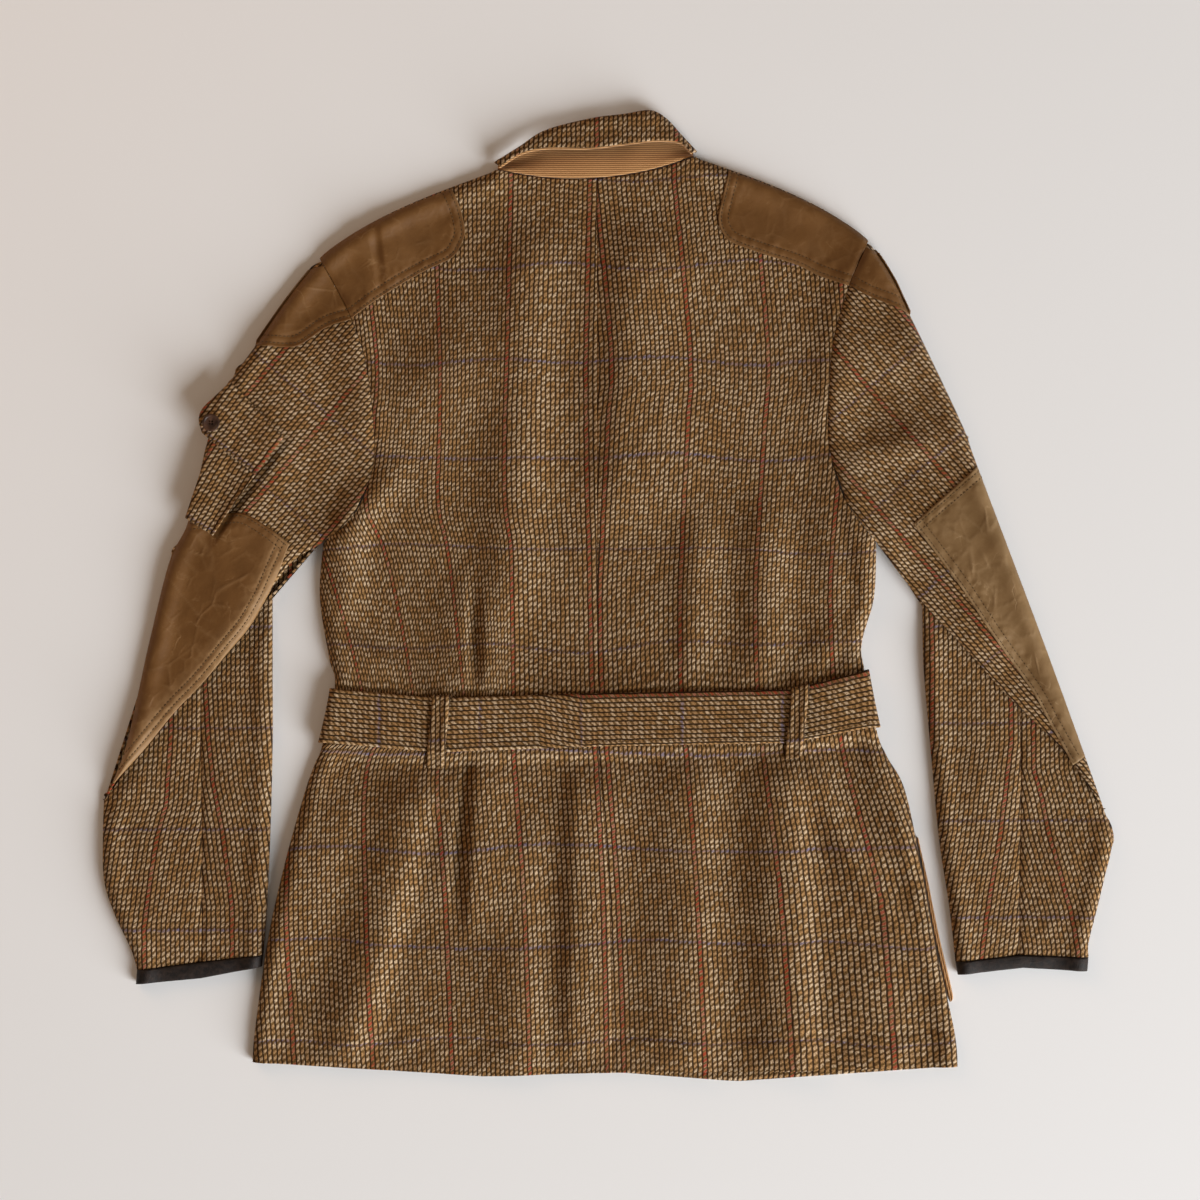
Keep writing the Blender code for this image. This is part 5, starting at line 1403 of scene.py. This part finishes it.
@dataclass
class SleevePocket:
    """The pocket on the left sleeve: bag, flap and button."""

    sleeve: Sleeve
    bag: Table = ((-333, 136), (-294, 107), (-333, 51), (-357, 66))
    flap: Table = ((-318, 181), (-273, 134), (-297, 102), (-342, 137))
    flap_end: Table = ((-345, 148), (-342, 158), (-331, 169))
    reach: float = 7.0
    bag_lift: float = 2.0
    flap_lift: float = 4.8
    wall: float = 2.0
    button_at: tuple[float, float] = (-334, 146)
    button_radius: float = 7.4
    button_thick: float = 3.0

    def bridged(self, plan: Array) -> Array:
        """Greatest height of the sleeve near each point, as a stiff pocket lies."""
        turns = np.linspace(0.0, math.tau, 9)[:-1]
        offsets = [(0.0, 0.0), *zip(self.reach * np.cos(turns), self.reach * np.sin(turns))]
        return np.max([self.sleeve.upper_height(plan + offset) for offset in offsets], axis=0)

    def dent_line(self, node: str) -> Array:
        """Where a piece is pressed in: the bag under the flap's edge, the flap along its seam."""
        a, b, c, d = (np.array(corner, dtype=float) for corner in self.flap)
        inward = (d - a) / np.linalg.norm(d - a)
        return np.array([a, b]) + 3.5 * inward if node.endswith("flap") else np.array([d, c]) + 1.5 * inward

    def panel(self, node: str, corners: Table, end: Table, lift: float,
              finishes: Finishes) -> tuple[Piece, Array]:
        """Make a four-cornered piece.

        Args:
            node: Node that it stands for.
            corners: Its corners, from the upper left round to the lower left.
            end: Points that its left side is led through, from the bottom up.
            lift: Height of its lower face over the sleeve, in millimetres.
            finishes: The jacket's materials.

        Returns:
            The piece and the points of its upper face.
        """
        a, b, c, d = (np.array(corner, dtype=float) for corner in corners)
        left = smooth_line((tuple(d), *end, tuple(a)), 40)
        plan = coons_plan(np.array([d, c]), np.array([a, b]), left, np.array([c, b]), 40, 40)
        s = np.linspace(0.0, 1.0, 40)
        edge = np.minimum.outer(np.minimum(s, 1 - s) * 60.0, np.minimum(s, 1 - s) * 55.0)
        round_off = 0.9 * (1.0 - quarter_round(edge / 2.6))
        seam = 1.3 * bell(distance_to(plan, [self.dent_line(node)]) / 2.2)
        uneven = 0.3 * Ripple(41, 20.0, 60.0).at(plan)
        height = self.bridged(plan) + lift + self.wall - round_off - seam + uneven
        unit = (c - d) / np.linalg.norm(c - d)
        up = np.array([-unit[1], unit[0]])
        cloth = np.stack([(plan - d) @ unit + 12.0, (plan - d) @ up + WEFT_START - 3.0], axis=-1)
        points = np.dstack([plan, height])
        sheets = [Sheet(points, cloth)]
        return add_cloth(node, sheets, self.wall, finishes.tweed), points

    def build(self, finishes: Finishes) -> list[Piece]:
        """Make the bag, the flap and the button."""
        bag, _ = self.panel("sleeve_pocket", self.bag, (), self.bag_lift, finishes)
        flap, points = self.panel("sleeve_pocket_flap", self.flap, self.flap_end, self.flap_lift, finishes)
        near = np.linalg.norm(points[..., :2] - self.button_at, axis=-1) < self.button_radius
        button = self.build_button(float(points[near][:, 2].max()) + 0.4, finishes)
        return [bag, flap, button]

    def build_button(self, foot: float, finishes: Finishes) -> Piece:
        """Turn a button with a raised rim and drill its four holes."""
        radius, thick = self.button_radius, self.button_thick
        profile = ((0.0, thick - 0.8), (radius - 3.0, thick - 0.8), (radius - 2.2, thick - 0.4),
                   (radius - 1.7, thick), (radius - 0.7, thick), (radius - 0.2, thick - 0.3),
                   (radius, thick - 0.9), (radius - 0.3, 0.7), (radius - 1.7, 0.0), (0.0, 0.0))
        builder = bmesh.new()
        verts = [builder.verts.new((r * MM, 0.0, z * MM)) for r, z in profile]
        edges = [builder.edges.new(pair) for pair in zip(verts, verts[1:])]
        bmesh.ops.spin(builder, geom=verts + edges, cent=(0, 0, 0), axis=(0, 0, 1), angle=math.tau, steps=40,
                       use_merge=True)
        bmesh.ops.remove_doubles(builder, verts=builder.verts[:], dist=0.00003)
        bmesh.ops.recalc_face_normals(builder, faces=builder.faces[:])
        mesh = bpy.data.meshes.new("turned_button")
        builder.to_mesh(mesh)
        builder.free()
        turned = bpy.data.objects.new("turned_button", mesh)
        bpy.context.scene.collection.objects.link(turned)
        drills = bmesh.new()
        for number in range(4):
            angle = math.tau * (number + 0.5) / 4
            at = Matrix.Translation((1.6 * MM * math.cos(angle), 1.6 * MM * math.sin(angle), 0.0))
            bmesh.ops.create_cone(drills, cap_ends=True, segments=14, radius1=0.85 * MM, radius2=0.85 * MM,
                                  depth=12 * MM, matrix=at)
        drill_mesh = bpy.data.meshes.new("drills")
        drills.to_mesh(drill_mesh)
        drills.free()
        drill = bpy.data.objects.new("drills", drill_mesh)
        bpy.context.scene.collection.objects.link(drill)
        cut = turned.modifiers.new("holes", "BOOLEAN")
        cut.operation = "DIFFERENCE"
        cut.solver = "EXACT"
        cut.object = drill
        evaluated = turned.evaluated_get(bpy.context.evaluated_depsgraph_get())
        done = bpy.data.meshes.new_from_object(evaluated)
        done.name = "button"
        for helper in (turned, drill):
            bpy.data.objects.remove(helper, do_unlink=True)
        done.transform(Matrix.Translation((self.button_at[0] * MM, self.button_at[1] * MM, foot * MM)))
        piece = add_piece(done, finishes.horn, ("sleeve_pocket_button",))
        done.set_sharp_from_angle(angle=math.radians(40))
        piece.report()
        return piece


@dataclass
class Gusset:
    """The tan edge of a front pocket that shows beside the right of the skirt."""

    right: HalfBack
    top: float = -205.0
    bottom: float = -344.0
    width: float = 4.6
    height: float = 5.0
    wall: float = 0.6

    def build(self, finishes: Finishes) -> Piece:
        """Make the edge with its groove."""
        half = self.right
        levels = np.linspace(self.top, self.bottom, 70)
        edge = np.interp(levels, half.rows[:half.side_rows, 1], half.rows[:half.side_rows, 0])
        share = np.linspace(0.0, 1.0, 70)
        width = self.width * np.clip(np.sqrt(share) * 1.1, 0.25, 1.0)
        width = width * (0.4 + 0.6 * quarter_round((1.0 - share) * 18.0))
        across = np.array((0.0, 0.15, 0.3, 0.42, 0.5, 0.58, 0.7, 0.85, 0.97, 1.0, 0.9))
        rise = np.array((0.8, 0.95, 1.0, 0.93, 0.62, 0.9, 0.97, 0.85, 0.55, 0.25, 0.02))
        x = edge[:, None] + 4 * GAP + width[:, None] * across
        points = np.dstack(np.broadcast_arrays(x, levels[:, None], rise * self.height))
        cloth = np.stack([points[..., 1], points[..., 0]], axis=-1)
        mesh = cloth_mesh("pocket_edge", [Sheet(points, cloth)])
        piece = add_piece(mesh, finishes.cord, ("right_pocket_gusset",))
        piece.thicken(self.wall)
        piece.report()
        return piece


@dataclass
class Stitching:
    """Rows of sewing laid on finished pieces."""

    name: str
    pitch: float = 3.4
    length: float = 2.5
    width: float = 0.75
    inset: float = 0.1

    def __post_init__(self) -> None:
        """Start an empty mesh."""
        self.builder = bmesh.new()
        self.count = 0

    def sew(self, line: Array, pieces: Sequence[Piece]) -> None:
        """Lay one row of stitches along a plan line, on whichever piece is uppermost there."""
        length = float(np.linalg.norm(np.diff(line, axis=0), axis=1).sum())
        shares = (np.arange(int(length / self.pitch)) + 0.5) * self.pitch / length
        trees = [self.tree(piece) for piece in pieces]
        places = line_at_shares(line, shares)
        ahead = line_at_shares(line, np.clip(shares + 0.5 * self.pitch / length, 0.0, 1.0)) - places
        for place, run in zip(places, ahead):
            hits = [tree.ray_cast(Vector((*place * MM, ABOVE)), Vector((0, 0, -1))) for tree in trees]
            hits = [hit for hit in hits if hit[0] is not None]
            if hits:
                at, normal, _, _ = max(hits, key=lambda hit: hit[0].z)
                self.stitch(at, normal, Vector((*run, 0.0)))

    def stitch(self, at: Vector, normal: Vector, run: Vector) -> None:
        """Add one stitch, half sunk in the cloth."""
        along = (run - normal * run.dot(normal)).normalized()
        turn = Matrix((along, normal.cross(along), normal)).transposed().to_4x4()
        size = Matrix.Diagonal((self.length / 2 * MM, self.width / 2 * MM, self.width / 2 * MM, 1.0))
        matrix = Matrix.Translation(at + normal * self.inset * MM) @ turn @ size
        bmesh.ops.create_uvsphere(self.builder, u_segments=6, v_segments=4, radius=1.0, matrix=matrix)
        self.count += 1

    @staticmethod
    def tree(piece: Piece) -> BVHTree:
        """Search tree over a piece's own faces."""
        builder = bmesh.new()
        builder.from_mesh(piece.object.data)
        tree = BVHTree.FromBMesh(builder)
        builder.free()
        return tree

    def build(self, material: bpy.types.Material, slot: Slot) -> Piece:
        """Make the sewing one piece."""
        mesh = bpy.data.meshes.new(self.name)
        self.builder.to_mesh(mesh)
        self.builder.free()
        piece = add_piece(mesh, material, ())
        LOG.info("%s: %d stitches", self.name, self.count)
        return piece


def offset_line(line: Array, distance: float) -> Array:
    """A line moved sideways to its left by a distance."""
    run = np.gradient(line, axis=0)
    across = np.stack([-run[:, 1], run[:, 0]], axis=-1)
    return line + across / np.maximum(np.linalg.norm(across, axis=-1, keepdims=True), 1e-6) * distance


@dataclass
class Studio:
    """A pale floor, soft light from the lower right, and a camera straight above."""

    middle: tuple[float, float] = (-0.00635, -0.00339)
    view_width: float = 1.0164
    distance: float = 2.6
    jacket_height: float = 0.008
    floor_colour: Colour = (0.80, 0.795, 0.80)
    floor_reach: float = 6.0
    sky_colour: Colour = (1.0, 0.83, 0.66)
    sky_strength: float = 0.20

    def build(self) -> None:
        """Set up the floor, the lights and the camera."""
        builder = bmesh.new()
        bmesh.ops.create_grid(builder, x_segments=1, y_segments=1, size=self.floor_reach)
        mesh = bpy.data.meshes.new("floor")
        builder.to_mesh(mesh)
        builder.free()
        floor = bpy.data.objects.new("floor", mesh)
        bpy.context.scene.collection.objects.link(floor)
        material = bpy.data.materials.new("floor")
        material.use_nodes = True
        shader = material.node_tree.nodes["Principled BSDF"]
        shader.inputs["Base Color"].default_value = (*self.floor_colour, 1.0)
        shader.inputs["Roughness"].default_value = 0.9
        mesh.materials.append(material)
        floor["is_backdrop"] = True
        self.light("key", (4.75, -4.42, 2.55), 4.8, 990.0, (0.95, 0.98, 1.0))
        self.light("fill", (-2.0, 1.6, 1.3), 1.6, 17.0, (1.0, 0.60, 0.33))
        world = bpy.data.worlds.new("studio")
        world.use_nodes = True
        sky = world.node_tree.nodes["Background"]
        sky.inputs["Color"].default_value = (*self.sky_colour, 1.0)
        sky.inputs["Strength"].default_value = self.sky_strength
        bpy.context.scene.world = world
        bpy.context.scene.view_settings.view_transform = "Standard"
        self.camera()

    @staticmethod
    def light(name: str, place: tuple[float, float, float], size: float, power: float,
              colour: Colour) -> None:
        """Add a square soft light that faces the middle of the jacket."""
        data = bpy.data.lights.new(name, "AREA")
        data.size = size
        data.energy = power
        data.color = colour
        lamp = bpy.data.objects.new(name, data)
        lamp.location = place
        lamp.rotation_euler = (-Vector(place)).to_track_quat("-Z", "Y").to_euler()
        bpy.context.scene.collection.objects.link(lamp)

    def camera(self) -> None:
        """Look straight down with the collar at the top of the picture."""
        data = bpy.data.cameras.new("camera")
        data.sensor_width = 36.0
        data.lens = 36.0 * self.distance / self.view_width
        camera = bpy.data.objects.new("camera", data)
        camera.location = (*self.middle, self.distance + self.jacket_height)
        bpy.context.scene.collection.objects.link(camera)
        bpy.context.scene.camera = camera


@dataclass
class Jacket:
    """The whole jacket, built piece by piece."""

    finishes: Finishes = field(default_factory=Finishes)
    patch_cover: float = 0.9

    def __post_init__(self) -> None:
        """Lay out the panels that other pieces lie on."""
        self.left_back = HalfBack(Side.LEFT, LEFT_SIDE, LEFT_ARMHOLE, LEFT_STRIPES)
        self.right_back = HalfBack(Side.RIGHT, RIGHT_SIDE, RIGHT_ARMHOLE, RIGHT_STRIPES)
        left_weave = ArmCloth((-297, 180), (0.76, -0.65), 1.05, (-264, 176), (-0.65, -0.76),
                              LEFT_OUTER_STRIPE, LEFT_INNER_STRIPE, -112.0, 85.5)
        right_weave = ArmCloth((223, 174), (-0.75, -0.66), 1.08, (241, 193), (0.66, -0.75),
                               RIGHT_OUTER_STRIPE, RIGHT_INNER_STRIPE, -108.0, 82.0)
        self.left_sleeve = Sleeve(self.left_back, LEFT_UPPER_ARM, LEFT_ELBOW_FOLD, LEFT_FOREARM,
                                  LEFT_CUFF_END, 0.44, left_weave)
        self.right_sleeve = Sleeve(self.right_back, RIGHT_UPPER_ARM, RIGHT_ELBOW_FOLD, RIGHT_FOREARM,
                                   RIGHT_CUFF_END, 0.38, right_weave)
        self.stitching = Stitching("patch_stitches")

    def build_body(self) -> None:
        """Make the back, the fronts and the sleeves."""
        self.left_back.build(self.finishes)
        self.right_back.build(self.finishes)
        Front(self.left_back, -2.0).build(self.finishes)
        Front(self.right_back, 9.0).build(self.finishes)
        self.left_sleeve.build_top(self.finishes)
        self.right_sleeve.build_top(self.finishes)
        for sleeve in (self.left_sleeve, self.right_sleeve):
            sleeve.build_under(self.finishes)
            sleeve.build_cuff(self.finishes)

    def sew_on(self, patch: Patch, material: bpy.types.Material) -> None:
        """Make a patch and sew it on along its lines."""
        piece = patch.build(material)
        for line in patch.sewn:
            self.stitching.sew(line, [piece])

    def shoulder_patch(self, back: HalfBack, edge: Table, start: tuple[float, float], corner: int) -> None:
        """Make the patch on a half back.

        Args:
            back: Half back that it lies on.
            edge: Its free edge, from the shoulder line to the armhole.
            start: Where it starts on the shoulder line.
            corner: Row of the edge at its rounded corner.
        """
        name = back.side.name.lower()
        edge_line = smooth_line(edge, 120)
        split = int(120 * corner / (len(edge) - 1))
        shoulder = line_between(back.shoulder[::-1], start, back.shoulder[0])
        armhole = line_between(back.armhole_line, edge[-1], back.armhole_line[-1])
        plan = coons_plan(edge_line[split:], shoulder, edge_line[:split + 1][::-1], armhole, 90, 110)
        wear_and_highlight = 0.10 * bell(distance_to(plan, [shoulder]) / 6.0)
        wear_and_highlight = wear_and_highlight + 0.25 * bell(distance_to(plan, [edge_line]) / 3.0)
        sewn = [offset_line(edge_line, back.side.value * inset) for inset in (2.5, 8.5)]
        patch = Patch(name + "_shoulder_patch", plan, back.height, "back_" + name, wear_and_highlight, plan.copy(), sewn,
                      0.2, 61 + back.side.value)
        self.sew_on(patch, self.finishes.waxed)

    def head_patch(self, sleeve: Sleeve, edge: Table) -> None:
        """Make the patch over a sleeve head; edge runs from the armhole to the outer outline."""
        name = sleeve.name
        seam, outline = sleeve.upper_plan[:, -1], sleeve.upper_plan[:, 0].copy()
        edge_line = smooth_line(edge, 80)
        left = line_between(seam, edge[0], seam[2])
        right = line_between(outline, edge[-1], outline[2])
        right[1:] = offset_line(right, -sleeve.back.side.value * self.patch_cover)[1:]
        plan = coons_plan(edge_line, np.array([left[-1], right[-1]]), left, right, 80, 70)
        wear_and_highlight = 0.12 * bell(distance_to(plan, [outline]) / 7.0)
        sewn = [offset_line(edge_line, sleeve.back.side.value * inset) for inset in (2.5, 8.5)]
        patch = Patch(name + "_sleeve_head_patch", plan, sleeve.upper_height, name + "_top_sleeve", wear_and_highlight,
                      sleeve.weave.upper(plan), sewn, 0.35, 67 + sleeve.back.side.value)
        self.sew_on(patch, self.finishes.waxed)

    def left_elbow(self) -> None:
        """Make the patch that runs to the left elbow fold."""
        sleeve = self.left_sleeve
        outline = sleeve.upper_plan[:, 0]
        top = smooth_line(((-355, 64), (-340, 66), (-311, 70), (-290, 60), (-269, 44)), 80)
        fold = line_between(sleeve.fold_line, (-284, 0), (-414, -160))
        right = np.concatenate([np.array([(-269.0, 44.0), (-277.0, 22.0)]), fold])
        left = line_between(outline, (-355, 64), (-421, -158))
        bottom = np.array([left[-1], fold[-1]])
        plan = coons_plan(bottom, top, left[::-1], right[::-1], 150, 100)
        # Pale band along the elbow fold: partly rubbed wear, partly a painted highlight where the fold's roll
        # turns to the light.
        wear_and_highlight = 0.75 * np.exp(-((distance_to(plan, [right]) / 15.0) ** 4))
        wear_and_highlight = wear_and_highlight + 0.15 * bell(distance_to(plan, [left]) / 6.0)
        sewn = [offset_line(top, -inset) for inset in (2.5, 8.0)]
        sewn += [offset_line(right[::4], -inset - 2.0) for inset in (2.5, 8.0)]
        patch = Patch("left_elbow_patch", plan, sleeve.upper_height, "left_top_sleeve", wear_and_highlight,
                      sleeve.weave.upper(plan), sewn, 0.45, 73)
        self.sew_on(patch, self.finishes.waxed)

    def right_elbow(self) -> None:
        """Make the patch on the outside of the right elbow."""
        sleeve = self.right_sleeve
        outline = sleeve.upper_plan[:, 0]
        top = np.array([(259.0, 61.0), (314.0, 109.0)])
        inner = smooth_line(((259, 61), (297, 10), (327, -35), (358, -78), (376, -111), (394, -143)), 100)
        outer = line_between(outline, (314, 109), (405, -136))
        bottom = np.array([inner[-1], outer[-1]])
        plan = coons_plan(bottom, top, inner[::-1], outer[::-1], 150, 80)
        wear_and_highlight = 0.35 * bell(distance_to(plan, [inner]) / 5.0)
        wear_and_highlight = wear_and_highlight + 0.15 * bell(distance_to(plan, [outer]) / 9.0)
        top_line = line_at_shares(top, np.linspace(0, 1, 20))
        sewn = [offset_line(inner[::4], inset) for inset in (2.5, 8.0)]
        sewn += [offset_line(top_line, -inset) for inset in (2.5, 8.0)]
        patch = Patch("right_elbow_patch", plan, sleeve.upper_height, "right_top_sleeve", wear_and_highlight,
                      sleeve.weave.upper(plan), sewn, 0.5, 79)
        self.sew_on(patch, self.finishes.waxed_pale)

    def build_patches(self) -> None:
        """Make the six waxed patches and their sewing."""
        self.shoulder_patch(self.left_back, ((-132, 345), (-125, 329), (-121, 309), (-125, 296), (-133, 286),
                                             (-157, 274), (-190, 254), (-216, 235)), (-132, 345), 3)
        self.shoulder_patch(self.right_back, ((103, 360), (98, 340), (94, 320), (98, 307), (107, 299),
                                              (129, 291), (160, 281), (179, 272), (204, 263)), (103, 360), 3)
        self.head_patch(self.left_sleeve, ((-217, 235), (-238, 228), (-258, 214), (-271, 211), (-298, 213)))
        self.head_patch(self.right_sleeve, ((204, 263), (220, 254), (243, 245), (256, 239)))
        self.left_elbow()
        self.right_elbow()
        self.stitching.build(self.finishes.thread, Slot.WAXED)

    def build_trim(self) -> None:
        """Make the belt, the collar, the sleeve pocket and the pocket edge."""
        belt = Belt(self.left_back, self.right_back)
        strap = belt.build(self.finishes)
        loops = [belt.build_loop(name, middle, self.finishes) for name, middle in belt.loops]
        collar = Collar()
        collar.build_stand(self.finishes)
        collar.build_leaf(self.finishes)
        SleevePocket(self.left_sleeve).build(self.finishes)
        Gusset(self.right_back).build(self.finishes)
        sewing = Stitching("belt_stitches", pitch=3.6, length=2.6, width=0.7)
        plan = belt.plan()
        for row in (2, -3):
            sewing.sew(plan[row, 8:-8:6], [strap])
        sewing.build(self.finishes.thread, Slot.TWEED)
        LOG.info("belt with %d loops", len(loops))


def visual_box() -> list[list[float]]:
    """Lowest and highest corner of every piece, with its modifiers."""
    graph = bpy.context.evaluated_depsgraph_get()
    corners = []
    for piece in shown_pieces():
        done = piece.evaluated_get(graph)
        mesh = done.to_mesh()
        places = np.empty(len(mesh.vertices) * 3, np.float32)
        mesh.vertices.foreach_get("co", places)
        done.to_mesh_clear()
        places = places.reshape(-1, 3)
        corners.extend([places.min(axis=0), places.max(axis=0)])
    corners = np.array(corners, dtype=float)
    return [corners.min(axis=0).tolist(), corners.max(axis=0).tolist()]


def main() -> None:
    """Build the jacket and its studio, and note both boxes."""
    logging.basicConfig(level=logging.INFO, format="%(name)s: %(message)s")
    jacket = Jacket()
    jacket.build_body()
    jacket.build_patches()
    jacket.build_trim()
    Studio().build()
    boxes = {"cad": [list(corner) for corner in CAD_BOX], "visual": visual_box()}
    LOG.info("boxes %s", boxes)


if __name__ == "__main__":
    main()
